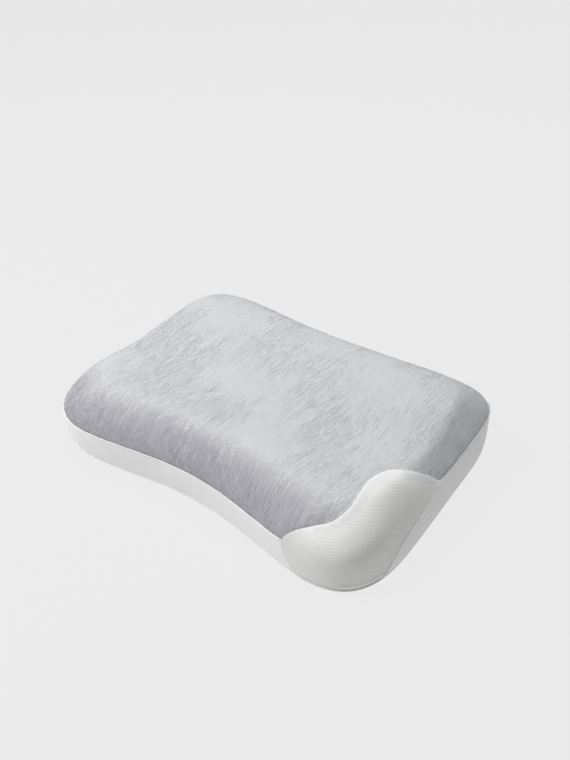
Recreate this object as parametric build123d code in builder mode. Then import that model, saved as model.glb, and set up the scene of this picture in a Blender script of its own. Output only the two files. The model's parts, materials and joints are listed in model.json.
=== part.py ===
"""Contour neck pillow: a moulded foam core in a sewn liner and a zipped outer cover.

Frame: the origin is the centre of the underside, +X to the right along the long side,
+Y towards the taller back roll and +Z up. All sizes are in millimetres.
"""

import os
from math import cos, exp, hypot, pi, sin

from build123d import *

# ---- Outline of the pillow, seen from above ----
HALF_LENGTH = 281.2        # centre to one short side, half way along that side
HALF_DEPTH = 216.1         # centre line to the front or back corners
FRONT_CORNER_POWER = 4.26  # superellipse power: larger is squarer
BACK_CORNER_POWER = 9.0
FRONT_HOLLOW = 49.0        # depth of the shoulder cut-out in the front edge
BACK_HOLLOW = 24.0
TAPER = 0.09               # the front is wider than the middle by this share
CAP_STATION = 0.992        # the short sides are cut flat at this share of the half length
ORIGIN_SHIFT = 9.0         # moves the outline forward so that its box is centred on the origin

# ---- Heights ----
VALLEY_HEIGHT = 99.4
FRONT_ROLL_RISE = 7.5
FRONT_ROLL_PLACE = -0.495  # as a share of the half depth
FRONT_ROLL_SPREAD = 0.31
BACK_ROLL_RISE = 30.3
BACK_ROLL_PLACE = 0.4945
BACK_ROLL_SPREAD = 0.45
LONG_SIDE_SEAM_HEIGHT = 53.4
SHORT_SIDE_SEAM_HEIGHT = 68.9

# ---- Rounding of the edges ----
TOP_ROUND_LONG_SIDE = 69.7
TOP_ROUND_SHORT_SIDE = 34.9
TOP_ROUND_POWER = 1.6
FOOT_ROUND = 9.6
FOOT_ROUND_HEIGHT = 20.0

# ---- Layers, as depths below the outer surface ----
COVER_THICKNESS = 2.4
LINER_DEPTH = 2.9
LINER_THICKNESS = 0.8
CORE_DEPTH = 4.2
PIPING_STAND = 0.9
PIPING_WIDTH = 2.2
BOTTOM_PANEL_HEIGHT = 3.4
BOTTOM_PIPING_HEIGHT = 5.2
LABEL_GAP = 0.5
LABEL_THICKNESS = 0.5

# ---- Ribbed panel over the front right corner ----
CORNER_CURVE = [(150, -213), (176, -197), (207, -182), (236, -153), (234, -104), (241, -59),
                (267, -34), (284, -5), (300, 18)]        # seen from above
CORNER_FRONT_EDGE = [(176, 90), (176, 46), (185, 22), (207, -6)]        # x and z on the front band
CORNER_SIDE_EDGE = [(3, 90), (-5, 69), (-28, 50), (-66, 46), (-100, 38), (-127, 14), (-136, -6)]
CORNER_PIPING_STAND = 1.2
CORNER_PIPING_WIDTH = 2.6
SIDE_PIPING_STAND = 0.6
SIDE_PIPING_WIDTH = 1.6

# ---- Where the pieces of the side band meet ----
RIGHT_BAND_START = 200.0   # x on the back, round the corner from the right side
LEFT_BAND_FRONT = -115.0
LEFT_BAND_BACK = 148.0

# ---- Liner and care label ----
LINER_SEAM_HEIGHT = 60.0
LINER_SEAM_WIDTH = 1.6
LABEL_X = -140.0
LABEL_WIDTH = 34.0
LABEL_LOW = 9.0
LABEL_HIGH = 40.0

# ---- Zip in the left short side; its own x runs towards the front ----
ZIP_HEIGHT = 32.0
ZIP_SLOT_HEIGHT = 10.0
ZIP_FRONT = 84.0           # the slider rests with its nose here when the zip is closed
ZIP_BACK = -130.0
ZIP_SLOT_SPARE = 5.0
TOOTH_PITCH = 3.0
TOOTH_WIDTH = 1.2
TOOTH_REACH = 2.1
TOOTH_LOW = -1.0
TOOTH_HIGH = 0.6
TAPE_LOW = -1.0
TAPE_HIGH = -0.4
STOP_LENGTH = 2.4
SLIDER_LENGTH = 11.0
SLIDER_WIDTH = 8.4
SLIDER_PLATE = 0.9
SLIDER_GAP = 0.3
FLANGE_WIDTH = 1.0
WEDGE_LENGTH = 3.4
WEDGE_WIDTH = 3.4
BRIDGE_LENGTH = 5.2
BRIDGE_WIDTH = 2.2
BRIDGE_HEIGHT = 2.6
BRIDGE_BAR = 0.8
PULL_LENGTH = 24.0
PULL_WIDTH = 7.0
PULL_THICKNESS = 1.0
PULL_PIN = 1.2
PULL_WINDOW = 4.6

FAR = 400.0                # reaches past the pillow in any direction
STATION_COUNT = 9          # sections from the middle to each short side
BLOCK_STATION = 1.2        # cutting blocks end here, past the short sides
SEAM_LAP = 6.0             # the side walls are upright up to this far below the seam
TOP_POINTS = 16


def reach(station, power):
    """Share of the half depth that a superellipse has left at a station along X."""
    return (1 - abs(station) ** power) ** (1 / power)


def hollow(station):
    """Share of the hollow of a long side at a station: all in the middle, none at the ends."""
    return (1 - min(station * station, 1)) ** 2


def bell(place, centre, spread):
    """Smooth hump of height 1."""
    return exp(-(((place - centre) / spread) ** 2))


def seam_height(station):
    """Height of the seam between the plush and the side band."""
    rise = 1 / (1 + exp(-(abs(station) - 0.86) / 0.045))
    return LONG_SIDE_SEAM_HEIGHT + (SHORT_SIDE_SEAM_HEIGHT - LONG_SIDE_SEAM_HEIGHT) * rise


def roll_height(y):
    """Height of the top along the middle of the pillow, with its two rolls."""
    place = y / HALF_DEPTH
    front = FRONT_ROLL_RISE * bell(place, FRONT_ROLL_PLACE, FRONT_ROLL_SPREAD)
    back = BACK_ROLL_RISE * bell(place, BACK_ROLL_PLACE, BACK_ROLL_SPREAD)
    return VALLEY_HEIGHT + front + back


def side_reach(station, side, half_depth):
    """Distance from the centre line to the front (side -1) or back (side 1) face."""
    power, depth = (FRONT_CORNER_POWER, FRONT_HOLLOW) if side < 0 else (BACK_CORNER_POWER, BACK_HOLLOW)
    share = reach(station, power)
    return share * (half_depth - depth * hollow(station))


def round_share(station, y, half_length, half_depth):
    """Share of the rise from the seam to the top, 0 at the seam and 1 inside the rounded edge."""
    side = -1 if y < 0 else 1
    power, depth = (FRONT_CORNER_POWER, FRONT_HOLLOW) if side < 0 else (BACK_CORNER_POWER, BACK_HOLLOW)
    flat_y = abs(y) * half_depth / (half_depth - depth * hollow(station))
    low, high = 0.0, pi / 2
    for _ in range(40):
        angle = (low + high) / 2
        inward = 1 - cos(angle) ** (2 / TOP_ROUND_POWER)
        along = abs(station) * half_length / (half_length - TOP_ROUND_SHORT_SIDE * inward)
        across = flat_y / (half_depth - TOP_ROUND_LONG_SIDE * inward)
        if along ** power + across ** power < 1:
            low = angle
        else:
            high = angle
    return sin(low) ** (2 / TOP_ROUND_POWER)


def fan_plane(station, half_length):
    """Upright plane across the pillow: the planes fan out because the sides taper."""
    slope = -TAPER * station * half_length / HALF_DEPTH
    x = station * half_length + slope * ORIGIN_SHIFT
    return Plane(origin=(x, 0, 0), x_dir=(slope, 1, 0), z_dir=(1, -slope, 0)), hypot(slope, 1)


def stations():
    """Stations from the left short side to the right one, closer together near the ends."""
    return [CAP_STATION * sin(i * pi / (2 * STATION_COUNT)) for i in range(-STATION_COUNT, STATION_COUNT + 1)]


def pillow(depth):
    """Whole pillow body at a depth below the outer surface, lofted through its sections."""
    half_length = HALF_LENGTH - depth
    half_depth = HALF_DEPTH - depth
    with BuildPart() as body:
        for station in stations():
            plane, stretch = fan_plane(station, half_length)
            seam = seam_height(station)
            front = -side_reach(station, -1, half_depth)
            back = side_reach(station, 1, half_depth)
            top = []
            for i in range(TOP_POINTS + 1):
                y = (front + back) / 2 - (back - front) / 2 * cos(pi * i / TOP_POINTS)
                rise = round_share(station, y, half_length, half_depth) if 0 < i < TOP_POINTS else 0
                top.append((y, seam + (roll_height(y) - depth - seam) * rise))
            with BuildSketch(plane):
                with BuildLine():
                    line = [((y - ORIGIN_SHIFT) * stretch, z) for y, z in top]
                    f, b = line[0][0], line[-1][0]
                    foot = [(0, FOOT_ROUND_HEIGHT), (0.25 * FOOT_ROUND, 0.35 * FOOT_ROUND_HEIGHT + depth),
                            (FOOT_ROUND, depth)]
                    back_foot = [(b - inward, z) for inward, z in foot]
                    front_foot = [(f + inward, z) for inward, z in reversed(foot)]
                    Polyline([(f, seam - SEAM_LAP)] + line + [(b, seam - SEAM_LAP)] + back_foot + front_foot, close=True)
                make_face()
        loft(ruled=True)
    return body.part




def seam_block(offset):
    """Everything below the seam between the plush and the band, raised by an offset."""
    with BuildPart() as block:
        for station in [-BLOCK_STATION] + stations() + [BLOCK_STATION]:
            plane, _ = fan_plane(station, HALF_LENGTH)
            height = seam_height(station) + offset
            with BuildSketch(plane):
                with Locations((0, (height - FAR / 8) / 2)):
                    Rectangle(2 * FAR, height + FAR / 8)
        loft(ruled=True)
    return block.part


def slab(low, high):
    """Horizontal slab that reaches past the pillow."""
    with BuildPart() as block:
        with BuildSketch(Plane.XY.offset(low)):
            Rectangle(2 * FAR, 2 * FAR)
        extrude(amount=high - low)
    return block.part


def upright_box(x_range, y_range, low=-FAR, high=FAR):
    """Box between two x values, two y values and two heights."""
    with BuildPart() as block:
        with BuildSketch(Plane.XY.offset(low)):
            with Locations((sum(x_range) / 2, sum(y_range) / 2)):
                Rectangle(x_range[1] - x_range[0], y_range[1] - y_range[0])
        extrude(amount=high - low)
    return block.part


def finish_piece(piece, name):
    """Labels a finished piece and writes it to its own file."""
    piece.part.label = name
    export_step(piece.part, f"parts/{name}.step")


os.makedirs("parts", exist_ok=True)

outer_body = pillow(0)
cover_inside = pillow(COVER_THICKNESS)
below_seam = seam_block(0)

# ---- Cutters for the ribbed corner ----
with BuildPart() as corner_prism:
    with BuildSketch(Plane.XY):
        with BuildLine():
            Spline(CORNER_CURVE)
            Polyline(CORNER_CURVE[-1], (FAR, CORNER_CURVE[-1][1]), (FAR, -FAR), (CORNER_CURVE[0][0], -FAR),
                     CORNER_CURVE[0])
        make_face()
    extrude(amount=FAR)

with BuildPart() as corner_front_prism:
    with BuildSketch(Plane.XZ.offset(FAR)):
        with BuildLine():
            Spline(CORNER_FRONT_EDGE)
            Polyline(CORNER_FRONT_EDGE[-1], (FAR, CORNER_FRONT_EDGE[-1][1]), (FAR, CORNER_FRONT_EDGE[0][1]),
                     CORNER_FRONT_EDGE[0])
        make_face()
    extrude(amount=-2 * FAR)

with BuildPart() as corner_block:
    with BuildSketch(Plane.YZ):
        with BuildLine():
            Spline(CORNER_SIDE_EDGE)
            Polyline(CORNER_SIDE_EDGE[-1], (-FAR, CORNER_SIDE_EDGE[-1][1]), (-FAR, CORNER_SIDE_EDGE[0][1]),
                     CORNER_SIDE_EDGE[0])
        make_face()
    extrude(amount=FAR)
    add(corner_front_prism.part, mode=Mode.INTERSECT)

# ---- Outer cover ----
with BuildPart() as cover_top:
    add(outer_body)
    add(cover_inside, mode=Mode.SUBTRACT)
    add(below_seam, mode=Mode.SUBTRACT)

with BuildPart() as cover_side:
    add(outer_body)
    add(cover_inside, mode=Mode.SUBTRACT)
    add(below_seam, mode=Mode.INTERSECT)
    add(slab(-FAR, BOTTOM_PANEL_HEIGHT), mode=Mode.SUBTRACT)

with BuildPart() as plush_top_panel:
    add(cover_top.part)
    add(corner_prism.part, mode=Mode.SUBTRACT)
finish_piece(plush_top_panel, "plush_top_panel")

with BuildPart() as corner_band_part:
    add(cover_side.part)
    add(corner_block.part, mode=Mode.INTERSECT)

with BuildPart() as ribbed_corner_panel:
    add(cover_top.part)
    add(corner_prism.part, mode=Mode.INTERSECT)
    add(corner_band_part.part)
finish_piece(ribbed_corner_panel, "ribbed_corner_panel")

with BuildPart() as bottom_panel:
    add(outer_body)
    add(cover_inside, mode=Mode.SUBTRACT)
    add(slab(BOTTOM_PANEL_HEIGHT, FAR), mode=Mode.SUBTRACT)
finish_piece(bottom_panel, "bottom_panel")

with BuildPart() as plain_band:
    add(cover_side.part)
    add(corner_block.part, mode=Mode.SUBTRACT)

with BuildPart() as front_band:
    add(plain_band.part)
    add(upright_box((-FAR, RIGHT_BAND_START), (-FAR, LEFT_BAND_FRONT)), mode=Mode.INTERSECT)
finish_piece(front_band, "front_band")

with BuildPart() as right_band:
    add(plain_band.part)
    add(upright_box((RIGHT_BAND_START, FAR), (-FAR, FAR)), mode=Mode.INTERSECT)
finish_piece(right_band, "right_band")

with BuildPart() as back_band:
    add(plain_band.part)
    add(upright_box((-FAR, RIGHT_BAND_START), (LEFT_BAND_BACK, FAR)), mode=Mode.INTERSECT)
finish_piece(back_band, "back_band")

# ---- Zip: its plane lies on the left side, x towards the front, y up, z outwards ----
side_plane, _ = fan_plane(-CAP_STATION, HALF_LENGTH)
zip_plane = Plane(origin=side_plane.origin + (0, 0, ZIP_HEIGHT), x_dir=-side_plane.x_dir, z_dir=-side_plane.z_dir)
slot_front = ZIP_FRONT + ZIP_SLOT_SPARE
slot_back = ZIP_BACK - ZIP_SLOT_SPARE


def zip_block(x_range, y_range, z_range):
    """Box in the zip's own frame."""
    with BuildPart() as block:
        with BuildSketch(zip_plane.offset(z_range[0])):
            with Locations((sum(x_range) / 2, sum(y_range) / 2)):
                Rectangle(x_range[1] - x_range[0], y_range[1] - y_range[0])
        extrude(amount=z_range[1] - z_range[0])
    return block.part


with BuildPart() as left_strip:
    add(plain_band.part)
    add(upright_box((-FAR, 0), (LEFT_BAND_FRONT, LEFT_BAND_BACK)), mode=Mode.INTERSECT)
    add(zip_block((slot_back, slot_front), (-ZIP_SLOT_HEIGHT / 2, ZIP_SLOT_HEIGHT / 2), (-20, 20)),
        mode=Mode.SUBTRACT)

with BuildPart() as left_band_upper:
    add(left_strip.part)
    add(slab(-FAR, ZIP_HEIGHT), mode=Mode.SUBTRACT)
finish_piece(left_band_upper, "left_band_upper")

with BuildPart() as left_band_lower:
    add(left_strip.part)
    add(slab(ZIP_HEIGHT, FAR), mode=Mode.SUBTRACT)
finish_piece(left_band_lower, "left_band_lower")

# ---- Piping along the seams ----
piping_outside = pillow(-PIPING_STAND)

with BuildPart() as top_piping:
    add(piping_outside)
    add(outer_body, mode=Mode.SUBTRACT)
    add(seam_block(PIPING_WIDTH / 2), mode=Mode.INTERSECT)
    add(seam_block(-PIPING_WIDTH / 2), mode=Mode.SUBTRACT)
    add(corner_prism.part, mode=Mode.SUBTRACT)
finish_piece(top_piping, "top_piping")

with BuildPart() as bottom_piping:
    add(piping_outside)
    add(outer_body, mode=Mode.SUBTRACT)
    add(slab(BOTTOM_PIPING_HEIGHT - PIPING_WIDTH / 2, BOTTOM_PIPING_HEIGHT + PIPING_WIDTH / 2), mode=Mode.INTERSECT)
finish_piece(bottom_piping, "bottom_piping")

with BuildPart() as corner_curve_piping:
    with BuildSketch(Plane.XY):
        with BuildLine():
            Spline(CORNER_CURVE)
        trace(line_width=CORNER_PIPING_WIDTH)
    extrude(amount=FAR)
    add(pillow(-CORNER_PIPING_STAND), mode=Mode.INTERSECT)
    add(outer_body, mode=Mode.SUBTRACT)
    add(seam_block(PIPING_WIDTH / 2), mode=Mode.SUBTRACT)
finish_piece(corner_curve_piping, "corner_curve_piping")

with BuildPart() as corner_side_piping:
    with BuildSketch(Plane.YZ):
        with BuildLine():
            Spline(CORNER_SIDE_EDGE)
        trace(line_width=SIDE_PIPING_WIDTH)
    extrude(amount=FAR)
    add(pillow(-SIDE_PIPING_STAND), mode=Mode.INTERSECT)
    add(outer_body, mode=Mode.SUBTRACT)
    add(seam_block(-PIPING_WIDTH / 2), mode=Mode.INTERSECT)
    add(slab(-FAR, BOTTOM_PIPING_HEIGHT + PIPING_WIDTH / 2), mode=Mode.SUBTRACT)
finish_piece(corner_side_piping, "corner_side_piping")

# ---- Care label on the back band ----
with BuildPart() as care_label:
    add(pillow(-LABEL_GAP - LABEL_THICKNESS))
    add(pillow(-LABEL_GAP), mode=Mode.SUBTRACT)
    add(upright_box((LABEL_X - LABEL_WIDTH / 2, LABEL_X + LABEL_WIDTH / 2), (0, FAR), LABEL_LOW, LABEL_HIGH),
        mode=Mode.INTERSECT)
finish_piece(care_label, "care_label")

# ---- Inner liner and foam core ----
seam_low = LINER_SEAM_HEIGHT - LINER_SEAM_WIDTH / 2
seam_high = LINER_SEAM_HEIGHT + LINER_SEAM_WIDTH / 2

with BuildPart() as liner:
    add(pillow(LINER_DEPTH))
    add(pillow(LINER_DEPTH + LINER_THICKNESS), mode=Mode.SUBTRACT)

with BuildPart() as liner_top:
    add(liner.part)
    add(slab(-FAR, seam_high), mode=Mode.SUBTRACT)
finish_piece(liner_top, "liner_top")

with BuildPart() as liner_bottom:
    add(liner.part)
    add(slab(seam_low, FAR), mode=Mode.SUBTRACT)
finish_piece(liner_bottom, "liner_bottom")

with BuildPart() as liner_seam:
    add(liner.part)
    add(slab(seam_low, seam_high), mode=Mode.INTERSECT)
finish_piece(liner_seam, "liner_seam")

with BuildPart() as foam_core:
    add(pillow(CORE_DEPTH))
finish_piece(foam_core, "foam_core")

# ---- Zip tapes, teeth and stops ----
tooth_front = ZIP_FRONT - WEDGE_LENGTH - 2 * SLIDER_GAP - TOOTH_WIDTH
tooth_count = int((tooth_front - ZIP_BACK - STOP_LENGTH - SLIDER_GAP) / TOOTH_PITCH)

for name, side in (("upper", 1), ("lower", -1)):
    tape_middle = side * (TOOTH_REACH + ZIP_SLOT_HEIGHT / 2) / 2
    with BuildPart() as tape:
        with BuildSketch(zip_plane.offset(TAPE_LOW)):
            with Locations(((slot_front + slot_back) / 2, tape_middle)):
                Rectangle(slot_front - slot_back, ZIP_SLOT_HEIGHT / 2 - TOOTH_REACH)
        extrude(amount=TAPE_HIGH - TAPE_LOW)
    finish_piece(tape, f"zip_tape_{name}")

    overlap = TOOTH_REACH / 2
    shift = TOOTH_PITCH / 2 if side < 0 else 0
    with BuildPart() as teeth:
        with BuildSketch(zip_plane.offset(TOOTH_LOW)):
            for i in range(tooth_count):
                with Locations((tooth_front - shift - i * TOOTH_PITCH, side * (TOOTH_REACH - overlap) / 2)):
                    Rectangle(TOOTH_WIDTH, TOOTH_REACH + overlap)
        extrude(amount=TOOTH_HIGH - TOOTH_LOW)
    finish_piece(teeth, f"zip_teeth_{name}")

stop_x = ZIP_FRONT + SLIDER_GAP + STOP_LENGTH / 2
with BuildPart() as zip_top_stops:
    with BuildSketch(zip_plane.offset(TAPE_HIGH)):
        with GridLocations(0, 2 * TOOTH_REACH + STOP_LENGTH, 1, 2):
            with Locations((stop_x, 0)):
                Rectangle(STOP_LENGTH, STOP_LENGTH * 0.8)
    extrude(amount=TOOTH_HIGH - TAPE_HIGH)
finish_piece(zip_top_stops, "zip_top_stops")

with BuildPart() as zip_bottom_stop:
    with BuildSketch(zip_plane.offset(TAPE_HIGH)):
        with Locations((ZIP_BACK + STOP_LENGTH / 2, 0)):
            Rectangle(STOP_LENGTH, 2 * TOOTH_REACH + STOP_LENGTH)
    extrude(amount=TOOTH_HIGH - TAPE_HIGH)
finish_piece(zip_bottom_stop, "zip_bottom_stop")

# ---- Slider: two plates joined by a wedge, with a bridge that holds the pull ----
slider_x = ZIP_FRONT - SLIDER_LENGTH / 2
plate_low = TOOTH_LOW - SLIDER_GAP
plate_high = TOOTH_HIGH + SLIDER_GAP
plate_top = plate_high + SLIDER_PLATE
wedge_x = ZIP_FRONT - SLIDER_GAP - WEDGE_LENGTH / 2
flange_y = (SLIDER_WIDTH - FLANGE_WIDTH) / 2
flange_low = TAPE_HIGH + SLIDER_GAP
pivot_x = slider_x - SLIDER_GAP
pivot_z = plate_top + (BRIDGE_HEIGHT - BRIDGE_BAR) / 2
bridge_plane = Plane(origin=zip_plane.from_local_coords((pivot_x, 0, plate_top)), x_dir=zip_plane.x_dir,
                     z_dir=-zip_plane.y_dir)

with BuildPart() as zip_slider:
    for low in (plate_low - SLIDER_PLATE, plate_high):
        with BuildSketch(zip_plane.offset(low)):
            with Locations((slider_x, 0)):
                RectangleRounded(SLIDER_LENGTH, SLIDER_WIDTH, 2)
        extrude(amount=SLIDER_PLATE)
    with BuildSketch(zip_plane.offset(plate_low)):
        with Locations((wedge_x, 0)):
            RectangleRounded(WEDGE_LENGTH, WEDGE_WIDTH, 1)
    extrude(amount=plate_high - plate_low)
    with BuildSketch(zip_plane.offset(flange_low)):
        with Locations((slider_x, flange_y), (slider_x, -flange_y)):
            Rectangle(SLIDER_LENGTH - 4, FLANGE_WIDTH)
    extrude(amount=plate_high - flange_low)
    with BuildSketch(bridge_plane):
        with Locations((0, BRIDGE_HEIGHT / 2)):
            Rectangle(BRIDGE_LENGTH, BRIDGE_HEIGHT)
        with Locations((0, (BRIDGE_HEIGHT - BRIDGE_BAR) / 2)):
            Rectangle(BRIDGE_LENGTH - 2 * BRIDGE_BAR, BRIDGE_HEIGHT - BRIDGE_BAR, mode=Mode.SUBTRACT)
    extrude(amount=BRIDGE_WIDTH / 2, both=True)
finish_piece(zip_slider, "zip_slider")

# ---- Pull tab: a pin under the bridge, a window round it and a plate that lies along the zip ----
pull_x = pivot_x - PULL_LENGTH / 2
window_x = pivot_x + (SLIDER_GAP - PULL_WINDOW) / 2
with BuildPart() as zip_pull:
    with BuildSketch(zip_plane.offset(pivot_z - PULL_THICKNESS / 2)):
        with Locations((pull_x, 0)):
            RectangleRounded(PULL_LENGTH, PULL_WIDTH, 1.5)
        with Locations((window_x, 0)):
            Rectangle(PULL_WINDOW + SLIDER_GAP, BRIDGE_WIDTH + 1.4, mode=Mode.SUBTRACT)
        with Locations((pivot_x - PULL_LENGTH + 4, 0)):
            Circle(1.2, mode=Mode.SUBTRACT)
    extrude(amount=PULL_THICKNESS)
    with BuildSketch(Plane(origin=zip_plane.from_local_coords((pivot_x, 0, pivot_z)), x_dir=zip_plane.x_dir,
                           z_dir=-zip_plane.y_dir)):
        Circle(PULL_PIN / 2)
    extrude(amount=BRIDGE_WIDTH / 2 + 1.2, both=True)
finish_piece(zip_pull, "zip_pull")

pivot = zip_plane.from_local_coords((pivot_x, 0, pivot_z))
travel = ZIP_FRONT - SLIDER_LENGTH - (ZIP_BACK + STOP_LENGTH + SLIDER_GAP)
print("zip pull pivot", pivot, "slide axis", -zip_plane.x_dir, "travel", travel, "teeth per row", tooth_count)
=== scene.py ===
"""Looks of a contour neck pillow: plush cover, ribbed corner, plain band, zip, liner and foam core.

Everything is in metres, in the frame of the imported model: +X to the right along the long side,
+Y towards the taller back roll, +Z up, with the origin in the middle of the underside.
"""

from __future__ import annotations

import json
import logging
import math
from dataclasses import dataclass, field
from enum import Enum, auto
from typing import Callable, Optional, Sequence, Union

import bmesh
import bpy
import numpy as np
from mathutils import Matrix, Vector
from mathutils.bvhtree import BVHTree
from mathutils.kdtree import KDTree

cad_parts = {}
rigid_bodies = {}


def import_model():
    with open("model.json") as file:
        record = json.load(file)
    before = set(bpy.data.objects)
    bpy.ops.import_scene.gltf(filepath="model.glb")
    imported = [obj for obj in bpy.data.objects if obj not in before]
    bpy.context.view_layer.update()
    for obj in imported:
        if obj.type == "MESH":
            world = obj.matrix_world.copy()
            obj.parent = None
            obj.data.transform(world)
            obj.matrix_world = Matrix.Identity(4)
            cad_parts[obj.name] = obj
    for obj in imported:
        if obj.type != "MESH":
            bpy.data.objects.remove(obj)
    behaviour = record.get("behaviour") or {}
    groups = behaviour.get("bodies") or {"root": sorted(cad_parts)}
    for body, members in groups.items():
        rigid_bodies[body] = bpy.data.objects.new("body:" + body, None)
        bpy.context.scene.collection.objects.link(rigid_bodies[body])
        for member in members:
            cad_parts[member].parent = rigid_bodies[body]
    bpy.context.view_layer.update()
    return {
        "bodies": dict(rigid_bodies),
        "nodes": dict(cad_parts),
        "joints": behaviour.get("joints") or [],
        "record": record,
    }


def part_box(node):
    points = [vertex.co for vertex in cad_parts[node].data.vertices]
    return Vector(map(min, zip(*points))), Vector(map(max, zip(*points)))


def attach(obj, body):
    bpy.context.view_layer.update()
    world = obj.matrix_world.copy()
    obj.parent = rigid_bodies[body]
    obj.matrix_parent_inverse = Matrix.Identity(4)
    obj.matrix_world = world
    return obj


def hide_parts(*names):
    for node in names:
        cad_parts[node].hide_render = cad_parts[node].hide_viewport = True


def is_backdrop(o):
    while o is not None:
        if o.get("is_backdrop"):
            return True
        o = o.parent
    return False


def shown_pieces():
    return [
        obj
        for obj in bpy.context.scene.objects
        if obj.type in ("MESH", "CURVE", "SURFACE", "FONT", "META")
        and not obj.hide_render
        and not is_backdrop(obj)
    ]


LOG = logging.getLogger("pillow")
MM = 0.001
TINY = 1e-7  # stands in for 0 where a sign or a division needs more
WELD = 1e-6  # points of a strand that are closer than this are one
HALVINGS = 36  # steps of each search for the surface
BODY = "pillow"
Field = Callable[[np.ndarray], np.ndarray]


class Panel(Enum):
    """Sewn panels of the outer cover."""

    PLUSH = auto()
    CORNER = auto()
    FRONT = auto()
    RIGHT = auto()
    BACK = auto()
    LEFT_UPPER = auto()
    LEFT_LOWER = auto()
    BOTTOM = auto()
    SLOT = auto()


# ---------------------------------------------------------------- shape


def smooth_path(points: Sequence[Sequence[float]], steps: int = 24) -> np.ndarray:
    """Rounds a few given points into a smooth line that passes through them.

    Args:
        points: Points of the line, of any dimension.
        steps: Places on each span.

    Returns:
        Array of points along the line.
    """
    knots = np.array(points, float)
    padded = np.vstack([2 * knots[0] - knots[1], knots, 2 * knots[-1] - knots[-2]])
    share = np.linspace(0, 1, steps, endpoint=False)[:, None]
    spans = []
    for a, b, c, d in zip(padded, padded[1:], padded[2:], padded[3:]):
        spans.append(
            0.5 * (2 * b + (c - a) * share + (2 * a - 5 * b + 4 * c - d) * share**2
                   + (3 * b - a - 3 * c + d) * share**3)
        )
    return np.vstack(spans + [knots[-1:]])


def side_of_path(path: np.ndarray, flat: np.ndarray) -> np.ndarray:
    """Signed distance from points to a line in a plane, positive on the line's right.

    Args:
        path: Points along the line, two columns.
        flat: Points to measure, two columns.

    Returns:
        One signed distance for each point.
    """
    best = np.full(len(flat), np.inf)
    signed = np.zeros(len(flat))
    for start, end in zip(path, path[1:]):
        run = end - start
        offset = flat - start
        share = np.clip(offset @ run / (run @ run), 0, 1)
        gap = offset - share[:, None] * run
        distance = np.hypot(gap[:, 0], gap[:, 1])
        closer = distance < best - 1e-9
        cross = run[1] * offset[:, 0] - run[0] * offset[:, 1]
        best = np.where(closer, distance, best)
        signed = np.where(closer, np.sign(cross) * distance, signed)
    return signed


def ripple(points: np.ndarray, wavelength: float, seed: int) -> np.ndarray:
    """Gentle unevenness between -1 and 1 that repeats nowhere on the pillow.

    Args:
        points: Places to read it at.
        wavelength: Length of the longest wave.
        seed: Picks the pattern.

    Returns:
        One value for each point.
    """
    draw = np.random.default_rng(seed)
    total = np.zeros(len(points))
    waves = 6
    shortest = 0.45
    for _ in range(waves):
        direction = draw.normal(size=3)
        direction /= np.linalg.norm(direction)
        pitch = wavelength * draw.uniform(shortest, 1.0)
        total += np.sin(points @ direction * 2 * math.pi / pitch + draw.uniform(0, 2 * math.pi))
    return total / waves


def bell(distance: np.ndarray, reach: float) -> np.ndarray:
    """Smooth bump that is 1 at no distance and fades out past its reach."""
    return np.exp(-((distance / reach) ** 2))


@dataclass(frozen=True)
class Waves:
    """Unevenness of a given strength and length."""

    weight: float
    length: float
    seed: int

    def at(self, points: np.ndarray) -> np.ndarray:
        """Value at each point, between minus and plus the weight."""
        return self.weight * ripple(points, self.length, self.seed)


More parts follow.
